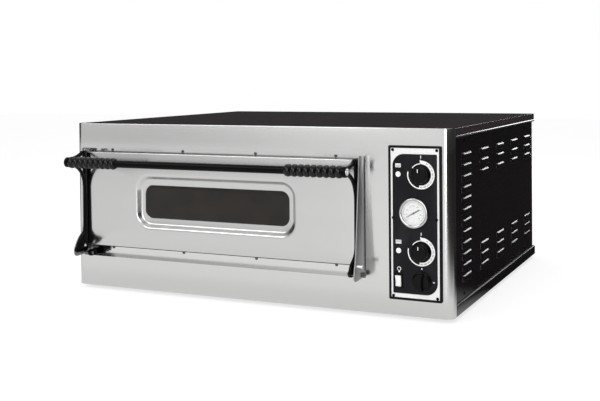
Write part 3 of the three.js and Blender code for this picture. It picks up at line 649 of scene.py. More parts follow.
FOOT_RUBBER = plastic("foot_rubber", (0.018, 0.018, 0.018), 0.75, texture=0.8, scale=500)
WHITE_PLATE = printed("white_plate", (0.72, 0.72, 0.715), 0.38)
WHITE_INK = printed("white_ink", (0.86, 0.86, 0.85))
GREY_INK = printed("grey_ink", (0.42, 0.42, 0.42))
BLACK_INK = printed("black_ink", (0.006, 0.006, 0.006))
WHITE_PLASTIC = plastic("white_plastic", (0.82, 0.82, 0.80), 0.3, texture=0.1)
# Painted glow: the pilot lenses are not lit, yet they emit a faint light so that the white lens reads
# brighter.
LENS = Surface(
    "pilot_lens", (0.9, 0.9, 0.9), roughness=0.3, Emission_Color=(1, 1, 1, 1), Emission_Strength=0.25
)
LENS.put("Roughness", LENS.spread(LENS.noise(300, detail=2), 0.3, 0.7, 0.24, 0.38))
LENS = LENS.mat
PORCELAIN = plastic("porcelain", (0.78, 0.75, 0.68), 0.25, texture=0.3, scale=200)
OVEN_STEEL = oven_steel()
CHAMOTTE = chamotte()
WOOL = mineral_wool()
SMOKED = smoked_glass()
CLEAR = clear_glass("clear_glass")
SHEATH = heater_sheath()

CARRIED_OVER = {
    "back_panel": ZINC, "door_inner_skin": ZINC, "glass_retainer": ZINC, "thermometer_body": ZINC,
    "chamber_liner": OVEN_STEEL, "insulation_blanket": WOOL, "rear_insulation": WOOL,
    "door_insulation": WOOL, "terminal_block": WHITE_PLASTIC, "main_switch": BLACK_PLASTIC,
    "upper_thermostat": BLACK_PLASTIC, "lower_thermostat": BLACK_PLASTIC,
    "upper_thermostat_bulb": CHROME, "lower_thermostat_bulb": CHROME,
}


def dress_carried_nodes():
    for name, material in CARRIED_OVER.items():
        mesh = frame["nodes"][name].data
        mesh.materials.clear()
        mesh.materials.append(material)


# ------------------------------------------------------------------ screws and bolts
def cross_head(at, axis, r, rise=1.4, cross=True):
    """A domed screw head with a real cross recess, or a hexagon socket."""
    turn = Vector((0, 0, 1)).rotation_difference(Vector(axis)).to_matrix().to_4x4()
    where = Matrix.Translation(at) @ turn
    if cross:
        a, b = r * 0.62, r * 0.17
        recess = [
            (a, b), (b, b), (b, a), (-b, a), (-b, b), (-a, b), (-a, -b), (-b, -b), (-b, -a), (b, -a),
            (b, -b), (a, -b),
        ]
    else:
        recess = circle(0, 0, r * 0.52, 6)
    head = slab([circle(0, 0, r, 24), recess[::-1]], rise, where, bevel=min(0.35 * rise, 0.2 * r), steps=1)
    floor = slab([circle(0, 0, r * 0.9, 16)], rise * 0.35, where)
    return joined(head, floor)


def screws(name, places, axis, r, material, body="cabinet", cross=True, rise=1.4):
    heads = [cross_head(at, axis, r, rise, cross) for at in places]
    return piece(name, joined(*heads), material, body)


# ------------------------------------------------------------------ cabinet
def shell_plan(inset):
    """Plan of the front panel, from the end of its left wrap round to the right one."""
    half, r = HALF_W - inset, max(CORNER_R - inset, 0.4)
    inner = HALF_W - CORNER_R
    corner_y = FRONT + CORNER_R
    left = [(-half, WRAP_END), (-half, corner_y)]
    left += arc(-inner, corner_y, r, PI, 1.5 * PI, 12)[1:]
    right = arc(inner, corner_y, r, -PI / 2, 0, 12)
    breaks = [DOOR_X - OPENING_HALF, DOOR_X + OPENING_HALF, PANEL_X - CUT_HALF, PANEL_X + CUT_HALF]
    return left + [(x, FRONT + inset) for x in breaks] + right + [(half, WRAP_END)]


def front_panel():
    turn = 1.2
    levels = [(16, BASE), (turn, BASE), (0.35, BASE + 0.35), (0, BASE + turn)]
    levels += [(0, z) for z in (PANEL_Z - CUT_BELOW, OPENING_BOTTOM, OPENING_TOP, PANEL_Z + CUT_ABOVE)]
    levels += [(0, TOP - turn), (0.35, TOP - 0.35), (turn, TOP), (3.0, TOP)]
    rows = [[Vector((x, y, z)) for x, y in shell_plan(inset)] for inset, z in levels]
    bm = bmesh.new()
    bm.from_mesh(skin(rows))

    def inside(face, x0, x1, z0, z1):
        middle = face.calc_center_median()
        return x0 < middle.x < x1 and z0 < middle.z < z1 and middle.y < FRONT + 0.1

    doorway = (DOOR_X - OPENING_HALF, DOOR_X + OPENING_HALF, OPENING_BOTTOM, OPENING_TOP)
    controls = (PANEL_X - CUT_HALF, PANEL_X + CUT_HALF, PANEL_Z - CUT_BELOW, PANEL_Z + CUT_ABOVE)
    holes = [f for f in bm.faces if inside(f, *doorway) or inside(f, *controls)]
    bmesh.ops.delete(bm, geom=holes, context="FACES")
    rim = [
        e for e in bm.edges
        if e.is_boundary and all(
            doorway[0] - 0.1 <= v.co.x <= doorway[1] + 0.1 and doorway[2] - 0.1 <= v.co.z <= doorway[3] + 0.1
            and v.co.y < FRONT + 0.1 for v in e.verts
        )
    ]
    deeper = {}
    for edge in rim:
        for v in edge.verts:
            if v not in deeper:
                deeper[v] = bm.verts.new((v.co.x, FLANGE_Y - 0.5, v.co.z))
    for edge in rim:
        a, b = edge.verts
        bm.faces.new((a, b, deeper[b], deeper[a]))
    mesh = bpy.data.meshes.new("mesh")
    bm.to_mesh(mesh)
    bm.free()
    piece("front_panel_sheet", thickened(mesh, SHEET), STEEL, replaces="front_panel", sharp=25)


def folded(profile, start, end, along):
    """A profile drawn across a fold, run along x or y."""
    rows = []
    for distance in (start, end):
        rows.append([Vector((p, distance, z) if along == "y" else (distance, p, z)) for p, z in profile])
    return skin(rows)


def top_cover():
    z, wall, hem = cover_high.z, HALF_W - 1.5, cover_low.z
    start, end = WRAP_END + 0.3, cover_high.y
    edge = [(wall - 2.0, z), (wall - 0.6, z - 0.6), (wall, z - 2.0), (wall, hem + 5.2), (HALF_W, hem + 3.8)]
    edge += [(HALF_W, hem + 0.8), (HALF_W - 0.8, hem), (HALF_W - 4.0, hem)]
    profile = [(-x, h) for x, h in reversed(edge)] + [(x, h) for x, h in edge]
    lid = thickened(folded(profile, start, end - 1.0, "y"), 1.2)
    rear = [
        (end - 6.0, z - 0.01), (end - 1.4, z - 0.02), (end - 0.4, z - 0.5), (end, z - 1.6), (end, hem),
        (end - 8, hem),
    ]
    back = thickened(folded(rear, -wall + 0.6, wall - 0.6, "x"), 1.2)
    r = CORNER_R - 3.3
    half = HALF_W - 3.3
    nose_end = start + 2
    plan = round_rect(
        0, (FRONT + 3.3 + start + 2) / 2, 2 * half, nose_end - FRONT - 3.3, (r, r, 0.2, 0.2)
    )
    nose = slab([plan], 1.2, facing_up(z - 1.25), bevel=0.3, steps=1)
    piece("top_cover_sheet", joined(lid, back, nose), COVER_PAINT, replaces="top_cover", sharp=25)


def base_tray():
    z, rim = tray_low.z, tray_high.z
    start, end = WRAP_END + 0.3, tray_high.y
    edge = [(HALF_W - 2, z), (HALF_W - 0.5, z + 0.5), (HALF_W, z + 2), (HALF_W, rim - 1.9)]
    edge += [(HALF_W - 0.5, rim - 0.5), (HALF_W - 1.9, rim), (HALF_W - 4.3, rim)]
    profile = [(-x, h) for x, h in reversed(edge)] + [(x, h) for x, h in edge]
    floor = thickened(folded(profile, start, end - 1.4, "y"), 1.2)
    rear = [
        (end - 5, z + 0.01), (end - 1.6, z + 0.02), (end - 0.4, z + 0.6), (end, z + 2), (end, rim - 1.6),
        (end - 0.5, rim), (end - 4, rim),
    ]
    back = thickened(folded([(y, h) for y, h in reversed(rear)], -HALF_W + 1.5, HALF_W - 1.5, "x"), 1.2)
    piece("base_tray_sheet", joined(floor, back), BLACK_PAINT, replaces="base_tray", sharp=25)


LOUVRE = {"length": 75, "height": 14, "depth": 4.4, "first": 122, "pitch": 152, "top": 355, "drop": 24.4}
LOUVRE_ROWS, LOUVRE_COLUMNS, LOUVRE_GROUP = 12, 5, 3


def louvre_cells():
    """(y0, y1, z0, z1) of every louvre on one side panel."""
    made = []
    for column in range(LOUVRE_COLUMNS):
        middle = behind(LOUVRE["first"] + column * LOUVRE["pitch"])
        for row in range(LOUVRE_ROWS):
            if column == 0 or row < LOUVRE_GROUP or row >= LOUVRE_ROWS - LOUVRE_GROUP:
                high = LOUVRE["top"] - row * LOUVRE["drop"]
                reach = LOUVRE["length"] / 2
                made.append((middle - reach, middle + reach, high - LOUVRE["height"], high))
    return made


def louvre_hood(face, y0, y1, z0, z1):
    """One pressed hood: swelling from its top edge and both ends, open along its foot."""
    along, down = 28, 8
    swell = 13.0
    rows = []
    for j in range(down + 1):
        t = j / down
        rise = math.sqrt(max(0.0, 1 - (1 - min(1.0, t / 0.5)) ** 2))
        row = []
        for i in range(along + 1):
            y = y0 + (y1 - y0) * (0.5 - 0.5 * math.cos(PI * i / along))
            end = min(y - y0, y1 - y) / swell
            taper = math.sqrt(max(0.0, 1 - (1 - min(1.0, end)) ** 2))
            row.append(Vector((face + LOUVRE["depth"] * rise * taper, y, z1 - (z1 - z0) * t)))
        rows.append(row)
    return skin(rows)


def side_panel_mesh():
    face = side_high.x - 4.5
    rear, bend = side_high.y, 12
    cells = louvre_cells()
    ys = sorted({y for cell in cells for y in cell[:2]} | {side_low.y, rear - bend})
    zs = sorted({z for cell in cells for z in cell[2:]} | {side_low.z, side_high.z})
    bm = bmesh.new()
    rows = [[Vector((face, y, z)) for y in ys] for z in zs]
    bm.from_mesh(skin(rows))
    for f in list(bm.faces):
        middle = f.calc_center_median()
        if any(y0 < middle.y < y1 and z0 < middle.z < z1 for y0, y1, z0, z1 in cells):
            bm.faces.remove(f)
    sheet = bpy.data.meshes.new("mesh")
    bm.to_mesh(sheet)
    bm.free()
    corner = arc(face - bend, rear - bend, bend, 0, PI / 2, 10) + [(face - 28, rear)]
    corner_rows = [[Vector((x, y, z)) for x, y in corner] for z in (side_low.z, side_high.z)]
    hoods = [thickened(louvre_hood(face, *cell), 1.0) for cell in cells]
    return joined(thickened(joined(sheet, skin(corner_rows)), THIN), *hoods)


def cabinet_sides():
    mesh = side_panel_mesh()
    piece("right_side_sheet", mesh.copy(), BLACK_PAINT, replaces="right_side_panel", sharp=40)
    piece("left_side_sheet", mirrored(mesh), BLACK_PAINT, replaces="left_side_panel", sharp=40)
    face = side_high.x - 4.5
    depths = ((106, 382), (697, 378.5), (102, 46), (697, 46))
    for name, side in SIDES:
        places = [(side * face, behind(d), z) for d, z in depths]
        screws(f"{name}_side_screws", places, (side, 0, 0), 3.4, BLACK_CAST, rise=1.5)


def cabinet_feet():
    for end in ("front", "rear"):
        for side, _ in SIDES:
            low, high = node_box(f"{end}_{side}_foot")
            r = (high.x - low.x) / 2
            middle = (low + high) / 2
            profile = [
                (0, 0), (r - 2, 0), (r - 0.8, 0.6), (r, 2), (r - 1, high.z - 0.6), (r - 1.8, high.z),
                (0, high.z),
            ]
            piece(
                f"{end}_{side}_foot_pad", lathe(profile, (middle.x, middle.y, 0), (0, 0, 1)), FOOT_RUBBER,
                replaces=f"{end}_{side}_foot",
            )


def cabinet_rear():
    y = node_box("back_panel")[1].y
    xs = (-440, -220, 0, 220, 440)
    places = [(x, y, z) for x in xs for z in (50, 378)]
    screws("back_panel_screws", places, (0, 1, 0), 3.8, CHROME, rise=1.6)
    low, high, middle = node_spot("cable_gland")
    r = (high.x - low.x) / 2
    hexagon = slab(
        [circle(-middle.x, middle.z, r, 6)], 5, plane((-1, 0, 0), (0, 0, 1), (0, y + 0.3, 0)), bevel=0.5
    )
    dome = [
        (0, 0), (10.5, 0), (10.5, 4.4), (9.5, 5.6), (7, high.y - y - 0.2), (4.5, high.y - y - 0.2),
        (4.2, 3), (0, 3),
    ]
    body = lathe(dome, (middle.x, y, middle.z), (0, 1, 0), 32)
    piece("cable_gland_body", joined(hexagon, body), BLACK_PLASTIC, replaces="cable_gland")


# ------------------------------------------------------------------ chamber
def chamber_front():
    """Screws that hold the chamber's flange, above and below the door."""
    heights = (OPENING_BOTTOM + 19.5, OPENING_TOP - 4.4)
    places = [(DOOR_X + offset, FLANGE_Y, z) for offset in (-306, -101, 97, 300) for z in heights]
    # The flange screws' dark metal is painted shade round their heads.
    screws("flange_screws", places, (0, -1, 0), 3.6, DARK_SCREW_METAL, rise=1.6)
    frame_plate = [
        [
            (DOOR_X - 384, OPENING_BOTTOM - 5), (DOOR_X + 384, OPENING_BOTTOM - 5),
            (DOOR_X + 384, OPENING_TOP + 5), (DOOR_X - 384, OPENING_TOP + 5),
        ],
        [(DOOR_X - 330, 155), (DOOR_X - 330, 297), (DOOR_X + 330, 297), (DOOR_X + 330, 155)],
    ]
    # The flange plate's lighter steel is painted light against the door's shadow.
    piece("chamber_flange", slab(frame_plate, 0.25, facing_front(FLANGE_Y)), FLANGE_STEEL_PAINTED_LIGHT)


def baking_stones():
    for name, _ in SIDES:
        low, high = node_box(f"{name}_baking_stone")
        piece(f"{name}_stone_slab", rounded_box(low, high, 1.4), CHAMOTTE, replaces=f"{name}_baking_stone")


def heating_elements():
    first, pitch, half, out, legs = 110, 150, 225, 350, 4
    for level in LEVELS:
        middle = node_middle(f"{level}_heating_element")
        points = [(DOOR_X + out, behind(first), middle.z)]
        for leg in range(legs - 1):
            side = -1 if leg % 2 == 0 else 1
            y = behind(first + (leg + 0.5) * pitch)
            for i in range(17):
                angle = -PI / 2 + PI * i / 16
                x = DOOR_X + side * (half + pitch / 2 * math.cos(angle))
                points.append((x, y + pitch / 2 * math.sin(angle), middle.z))
        points.append((DOOR_X + out, behind(first + (legs - 1) * pitch), middle.z))
        piece(f"{level}_element_rod", tube(points, 3.9), SHEATH, replaces=f"{level}_heating_element")


def chamber_lamp():
    low, high, middle = node_spot("lamp_glass")
    r, rise = (high.z - low.z) / 2, high.x - low.x
    profile = [(0, 0), (r, 0), (r, 1.6), (r - 1, 2.2)]
    turns = [PI / 2 * i / 10 for i in range(1, 10)]
    profile += [((r - 1) * math.cos(a), 2.2 + (rise - 2.2) * math.sin(a)) for a in turns]
    profile.append((0, rise))
    piece(
        "lamp_cover_glass", lathe(profile, (high.x, middle.y, middle.z), (-1, 0, 0)), CLEAR,
        replaces="lamp_glass",
    )
    low, high = node_box("lamp_holder")
    holder = [
        (0, 0), (19, 0), (19, 3.2), (21.5, 3.2), (22, 4), (22, 29), (20.5, 31), (12.5, 34), (12, 36),
        (12, 49), (11, 50), (0, 50),
    ]
    piece(
        "lamp_holder_body", lathe(holder, (low.x, middle.y, middle.z), (1, 0, 0)), PORCELAIN,
        replaces="lamp_holder",
    )


# ------------------------------------------------------------------ controls
FILM_Y = ahead(4.7)


def control_facings():
    bezel = slab(
        [
            round_rect(PANEL_X, PANEL_Z, PANEL_W, PANEL_H, 3),
            round_rect(PANEL_X, PANEL_Z, PANEL_W - 11, PANEL_H - 11, 1.5)[::-1],
        ],
        4.2, facing_front(ahead(0.2)), bevel=0.7,
    )
    piece("bezel_frame", bezel, BLACK_PLASTIC, replaces="control_bezel")
    gauge = node_middle("thermometer_dial")
    rocker = node_middle("light_switch_frame")
    holes = [circle(gauge.x, gauge.z, 28)[::-1], round_rect(rocker.x, rocker.z, 17, 29, 0.5)[::-1]]
    plate = slab(
        [round_rect(PANEL_X, PANEL_Z, PANEL_W - 9, PANEL_H - 9, 2)] + holes, 1.2, facing_front(ahead(2.6)),
        bevel=0.2, steps=1,
    )
    piece("white_panel", plate, WHITE_PLATE, replaces="control_plate")
    low, high = node_box("control_overlay")
    field = round_rect(
        (low.x + high.x) / 2, (low.z + high.z) / 2, high.x - low.x, high.z - low.z, (2, 26, 2, 26), 16
    )
    film = slab([field] + holes, 0.6, facing_front(ahead(4.1)), bevel=0.15, steps=1)
    piece("black_field", film, OVERLAY_BLACK, replaces="control_overlay")
    places = [
        (PANEL_X + side * 49.3, ahead(3.8), z) for side in (-1, 1) for z in (PANEL_Z + 156.3, PANEL_Z - 157)
    ]
    places += [(PANEL_X + side * 48.5, ahead(4.6), PANEL_Z + 10.3) for side in (-1, 1)]
    screws("panel_screws", places, (0, -1, 0), 3.3, BLACK_CAST, rise=1.5)


def clock(hour):
    """The angle of an hour on a clock's face."""
    return PI / 2 - hour * PI / 6


def thermostat_scale(level):
    """White scale ring, its tick marks and numbers, and the zero mark above it."""
    knob = node_middle(f"{level}_thermostat_knob")
    x, z = knob.x, knob.z
    where = facing_front(FILM_Y)
    inner, outer, thin = 22.6, 30.4, 24.6
    white = [
        slab([ring_part(x, z, inner, outer, clock(6.3), clock(0.0), 40)], INK, where),
        slab([ring_part(x, z, outer - 2.2, outer, clock(9.4), clock(6.3), 24)], INK, where),
        slab([ring_part(x, z, inner, thin, clock(12), clock(10.2), 16)], INK, where),
        slab([[(x - 0.7, z + 34.5), (x + 0.7, z + 34.5), (x + 0.7, z + 41), (x - 0.7, z + 41)]], INK, where),
        slab([[(x - 2, z + 22.6), (x - 0.2, z + 22.6), (x - 0.2, z + 32), (x - 2, z + 32)]], INK, where),
    ]
    piece(f"{level}_scale_ring", joined(*white), WHITE_INK)
    over = facing_front(FILM_Y - INK)
    marks = []
    for step in range(9):
        angle = clock(1.0 + step * 0.62)
        reach = 26.6
        spot = x + reach * math.cos(angle), z + reach * math.sin(angle)
        marks.append(lettering(str(50 * (step + 1)), 4.8, *spot, over, turn=angle - PI / 2))
    piece(f"{level}_scale_numbers", joined(*marks), BLACK_INK)


def pilot_light(level):
    low, high, middle = node_spot(f"{level}_pilot_light")
    r = (high.z - low.z) / 2
    profile = [(0, 0), (r - 1.7, 0), (r - 1.7, 15), (r, 15), (r, 17)]
    dome = 17
    rise = high.y - low.y - dome
    profile += [(r * math.cos(a), dome + rise * math.sin(a)) for a in [PI / 2 * i / 8 for i in range(1, 8)]]
    profile.append((0, dome + rise))
    piece(
        f"{level}_pilot_lens", lathe(profile, (middle.x, high.y, middle.z), (0, -1, 0)), LENS,
        replaces=f"{level}_pilot_light",
    )
    x, z = middle.x, middle.z + 19
    where = facing_front(FILM_Y)
    box_rim = [round_rect(x, z, 12.5, 8, 0.6, 2), round_rect(x, z, 10.9, 6.4, 0.4, 2)[::-1]]
    bar_z = z + (1.7 if level == "upper" else -1.7)
    icon = [slab(box_rim, INK, where), slab([round_rect(x, bar_z, 9, 1.3, 0.5, 2)], INK, where)]
    piece(f"{level}_element_icon", joined(*icon), WHITE_INK)
    piece(f"{level}_icon_ground", slab([round_rect(x, z, 10.8, 6.3, 0.4, 2)], 0.06, where), GREY_INK)


def switch_icons():
    rocker = node_middle("light_switch_frame")
    where = facing_front(FILM_Y)
    x, z = rocker.x + 2.5, rocker.z + 26
    bulb = [slab([circle(x, z, 4.4, 24), circle(x, z, 3.2, 24)[::-1]], INK, where)]
    bulb.append(slab([round_rect(x, z - 6.2, 3.4, 2.6, 0.4, 2)], INK, where))
    piece("lamp_icon", joined(*bulb), WHITE_INK)
    knob = node_middle("main_switch_knob")
    marks = [slab([circle(knob.x, knob.z + 27.5, 1.5, 16)], INK, where)]
    marks.append(slab([round_rect(knob.x + 26.5, knob.z, 4.2, 1.5, 0.4, 2)], INK, where))
    piece("main_switch_marks", joined(*marks), WHITE_INK)


def thermostat_knob(level):
    name = f"{level}_thermostat_knob"
    low, high, middle = node_spot(name)
    r, rise = (high.z - low.z) / 2, high.y - low.y
    profile = [(0, 0), (r - 0.4, 0), (r, 0.4), (r, 2.4), (r - 0.6, 3.2), (r - 2.6, 4.4), (17.9, 6), (17.2, 8)]
    profile += [
        (16.4, rise - 2.2), (15.8, rise - 0.9), (14.6, rise - 0.2), (13.6, rise - 0.2), (13.2, rise - 0.7),
        (0, rise - 0.9),
    ]
    body = lathe(profile, (middle.x, high.y, middle.z), (0, -1, 0), 64)
    ribs = []
    for i in range(28):
        angle = 2 * PI * i / 28
        rib = slab(
            [round_rect(17.0, 0, 1.5, 1.5, 0.6, 3)], rise - 8, Matrix.Translation((0, 0, 6)), bevel=0.4,
            steps=1,
        )
        rib.transform(facing_front(high.y))
        rib.transform(Matrix.Translation((middle.x, 0, middle.z)) @ Matrix.Rotation(angle, 4, "Y"))
        ribs.append(rib)
    piece(f"{level}_knob_body", joined(body, *ribs), KNOB_PLASTIC, body=name, replaces=name)
    pointer = slab(
        [round_rect(middle.x - 2.0, middle.z + 10, 1.5, 8.5, 0.5, 3)], 0.3, facing_front(low.y + 0.9)
    )
    piece(f"{level}_knob_pointer", pointer, WHITE_INK, body=name)


def main_switch_knob():
    name = "main_switch_knob"
    low, high, middle = node_spot(name)
    r, rise = (high.z - low.z) / 2, high.y - low.y
    profile = [
        (0, 0), (r - 0.4, 0), (r, 0.4), (r, 3), (r - 0.8, 4), (r - 2.2, 4.6), (r - 3.2, 7), (r - 4.2, 8.2),
        (0, 8.6),
    ]
    skirt = lathe(profile, (middle.x, high.y, middle.z), (0, -1, 0), 64)
    end, side, waist = (6, 17.5), (2.8, 8), 3.4
    x, z = middle.x, middle.z
    grip = outline(
        (x - end[0], z - end[1]), ((x - side[0], z - side[1]), (x - waist, z)),
        ((x - side[0], z + side[1]), (x - end[0], z + end[1])), ((x, z + 20.5), (x + end[0], z + end[1])),
        ((x + side[0], z + side[1]), (x + waist, z)), ((x + side[0], z - side[1]), (x + end[0], z - end[1])),
        ((x, z - 20.5), (x - end[0], z - end[1])),
    )[:-1]
    bar = slab([grip[::-1]], rise - 7, facing_front(high.y - 7), bevel=1.1, steps=2)
    piece("main_knob_body", joined(skirt, bar), KNOB_PLASTIC, body=name, replaces=name)


def thermometer():
    low, high, middle = node_spot("thermometer_bezel")
    r, rise = (high.z - low.z) / 2, high.y - low.y
    at = (middle.x, high.y, middle.z)
    bore = 27.0
    profile = [
        (bore, 0), (r, 0), (r, rise - 2.2), (r - 0.5, rise - 1.0), (r - 1.6, rise - 0.2), (r - 3, rise),
        (r - 4.6, rise - 0.2), (r - 5.6, rise - 0.9), (r - 5.8, rise - 1.8), (bore, rise - 1.9), (bore, 0),
    ]
    # The rim's darker metal is painted shade.
    piece("gauge_rim", lathe(profile, at, (0, -1, 0), 96), GAUGE_RIM_METAL, replaces="thermometer_bezel")
    dial_low, dial_high = node_box("thermometer_dial")
    face = slab([circle(middle.x, middle.z, 26.8, 64)], dial_high.y - dial_low.y, facing_front(dial_high.y))
    piece("gauge_face", face, WHITE_PLATE, replaces="thermometer_dial")
    over = facing_front(dial_low.y)
    marks = []
    for i in range(41):
        angle = PI * 1.25 - 1.5 * PI * i / 40
        long = 3.6 if i % 5 == 0 else 2.0
        wide = 0.42 if i % 5 == 0 else 0.22
        tick = slab(
            [[(22.8 - long, -wide / 2), (22.8, -wide / 2), (22.8, wide / 2), (22.8 - long, wide / 2)]],
            0.06, Matrix.Identity(4),
        )
        tick.transform(over @ Matrix.Translation((middle.x, middle.z, 0)) @ Matrix.Rotation(angle, 4, "Z"))
        marks.append(tick)
        if i % 5 == 0:
            spot = middle.x + 15.6 * math.cos(angle), middle.z + 15.6 * math.sin(angle)
            marks.append(lettering(str(i * 10), 3.4, *spot, over, 0.06))
    marks.append(slab([ring_part(middle.x, middle.z, 22.9, 23.3, -PI / 4, PI * 1.25, 64)], 0.06, over))
    piece("gauge_marks", joined(*marks), BLACK_INK)
    needle = node_box("thermometer_needle")
    hand = outline((-1.5, -15), (1.5, -15), (1.4, 0), (0.6, 19.5), (-0.6, 19.5), (-1.4, 0))
    pointer = slab([hand], 0.5, Matrix.Identity(4))
    rest = Matrix.Translation((middle.x, middle.z, 0)) @ Matrix.Rotation(PI * 2 / 3, 4, "Z")
    pointer.transform(facing_front(needle[1].y - 0.2) @ rest)
    hub = lathe(
        [(0, 0), (2.2, 0), (2.4, 0.3), (2.2, 0.9), (1.2, 1.1), (0, 1.1)],
        (middle.x, needle[1].y, middle.z), (0, -1, 0), 24,
    )
    piece(
        "gauge_needle", joined(pointer, hub), BLACK_CAST, body="thermometer_needle",
        replaces="thermometer_needle",
    )
    glass_back = node_box("thermometer_glass")[1].y
    pane = lathe(
        [(0, 0), (26.7, 0), (26.8, 0.5), (26.5, 0.9), (0, 1.1)], (middle.x, glass_back, middle.z),
        (0, -1, 0), 64,
    )
    piece("gauge_glass", pane, CLEAR, replaces="thermometer_glass")


def light_switch():
    low, high, middle = node_spot("light_switch_frame")
    w, h = high.x - low.x, high.z - low.z
    x, z = middle.x, middle.z
    inner = w - 5.6, h - 5.6
    rim_loops = [round_rect(x, z, w, h, 2), round_rect(x, z, *inner, 0.8)[::-1]]
    rim = slab(rim_loops, 2.2, facing_front(low.y + 2.2), bevel=0.5)
    well_loops = [round_rect(x, z, w - 4, h - 4, 0.8), round_rect(x, z, *inner, 0.5)[::-1]]
    well = slab(well_loops, high.y - low.y - 2, facing_front(high.y))
    floor = slab([round_rect(middle.x, middle.z, w - 5, h - 5, 0.5)], 1, facing_front(high.y))
    piece("rocker_frame", joined(rim, well, floor), BLACK_PLASTIC, replaces="light_switch_frame")
    rocker_low, rocker_high = node_box("light_switch_rocker")
    joint = next(j for j in frame["joints"] if j["child"] == "light_switch_rocker")
    pivot_y, pivot_z = joint["pos_m"][1] / MM, joint["pos_m"][2] / MM
    reach = (rocker_high.x - rocker_low.x) / 2 - 0.1
    half = h / 2 - 4.0
    tilt = math.radians(8)
    side = outline(
        (-2.6, -9), (2.6, -half), (5.6, -half), ((4.6, -half * 0.5), (4.0, 0)),
        ((4.6, half * 0.5), (5.6, half)), (2.6, half), (-2.6, 9),
    )
    turned = []
    for forward, up in side:
        y, z = -forward, up
        across, upward = y * math.cos(tilt) - z * math.sin(tilt), y * math.sin(tilt) + z * math.cos(tilt)
        turned.append((pivot_y + across, pivot_z + upward))
    body = slab([turned[::-1]], 2 * reach, facing_right(middle.x - reach), bevel=0.5)
    piece("rocker_cap", body, WHITE_PLASTIC, body="light_switch_rocker", replaces="light_switch_rocker")


# ------------------------------------------------------------------ door
WINDOW = {"z": 226, "rim": (430, 128, 38), "flat": (406, 105, 28), "glass": (388, 79, 20)}
CORNER_STEPS = 12


def window_loop(w, h, r, y):
    return [Vector((x, y, z)) for x, z in round_rect(DOOR_X, WINDOW["z"], w, h, r, CORNER_STEPS)]


def door_loop(inset, y):
    """The door's edge, with a point for each one of the window's loop."""
    half = DOOR_HALF - inset
    low, high = DOOR_BOTTOM + inset, DOOR_TOP - inset
    w, h, r = WINDOW["rim"]
    flat_x, flat_z = w / 2 - r, h / 2 - r
    made = []
    for sx, sz, first in ((-1, -1, "x"), (1, -1, "z"), (1, 1, "x"), (-1, 1, "z")):
        corner = (DOOR_X + sx * half, low if sz < 0 else high)
        on_side = (corner[0], WINDOW["z"] + sz * flat_z)
        on_level = (DOOR_X + sx * flat_x, corner[1])
        start, end = (on_side, on_level) if first == "x" else (on_level, on_side)
        for i in range(CORNER_STEPS + 1):
            t = 2 * i / CORNER_STEPS
            a, b, s = (start, corner, t) if t <= 1 else (corner, end, t - 1)
            made.append(Vector((a[0] + (b[0] - a[0]) * s, y, a[1] + (b[1] - a[1]) * s)))
    return made


def door_skin():
    face, flat = DOOR_FACE, DOOR_FACE + 10
    rim_w, rim_h, rim_r = WINDOW["rim"]
    flat_w, flat_h, flat_r = WINDOW["flat"]
    glass_w, glass_h, glass_r = WINDOW["glass"]
    rows = [
        door_loop(0, door_high.y), door_loop(0, face + 1.6), door_loop(0.25, face + 0.8),
        door_loop(0.8, face + 0.25), door_loop(1.6, face),
    ]
    rows += [
        window_loop(rim_w + 9, rim_h + 9, rim_r + 4, face),
        window_loop(rim_w + 4, rim_h + 4, rim_r + 2, face),
    ]
    steps = 12
    for i in range(steps + 1):
        t = i / steps
        fall = t ** 1.4 / (t ** 1.4 + (1 - t) ** 1.4)
        w, h, r = (a + (b - a) * t for a, b in ((rim_w, flat_w), (rim_h, flat_h), (rim_r, flat_r)))
        rows.append(window_loop(w, h, r, face + (flat - face) * (0.04 + 0.96 * fall)))
    rows += [
        window_loop(glass_w + 5, glass_h + 5, glass_r + 2.5, flat),
        window_loop(glass_w + 1.2, glass_h + 1.2, glass_r + 0.6, flat + 0.25),
    ]
    rows += [
        window_loop(glass_w, glass_h, glass_r, flat + 1.0),
        window_loop(glass_w, glass_h, glass_r, flat + 1.4),
    ]
    mesh = thickened(skin(rows, closed=True), 1.0)
    piece("door_face", mesh, DOOR_STEEL, body="door", replaces="door_outer_skin", sharp=30)


def door_window():
    low, high = node_box("door_glass")
    pane = slab(
        [round_rect(DOOR_X, WINDOW["z"], high.x - low.x, high.z - low.z, 18)], high.y - low.y,
        facing_front(high.y), bevel=0.4,
    )
    piece("window_pane", pane, SMOKED, body="door", replaces="door_glass")


def side_plate_outline(name):
    """The right plate shields the controls; the left one is a lobe with a narrow strip above it."""
    a = ahead
    shield = (
        (a(50), 86), ((a(62), 87), (a(62), 100)), ((a(54), 128), (a(50.5), 149)),
        ((a(43.5), 212), (a(36.5), 278)), (a(29), 352.8),
    )
    hanger = (
        (a(34), 86.5), ((a(45), 88), (a(44), 102)), ((a(38), 124), (a(20), 138)),
        ((a(9), 148), (a(8), 172)), (a(8), 351.6),
    )
    front = shield if name == "right" else hanger
    return outline(
        (a(-19), DOOR_BOTTOM + 1), (a(-4), DOOR_BOTTOM + 1), (a(-4), 88.5), *front,
        (a(0), 351.2), (a(-3), 345), (a(-19), DOOR_TOP),
    )


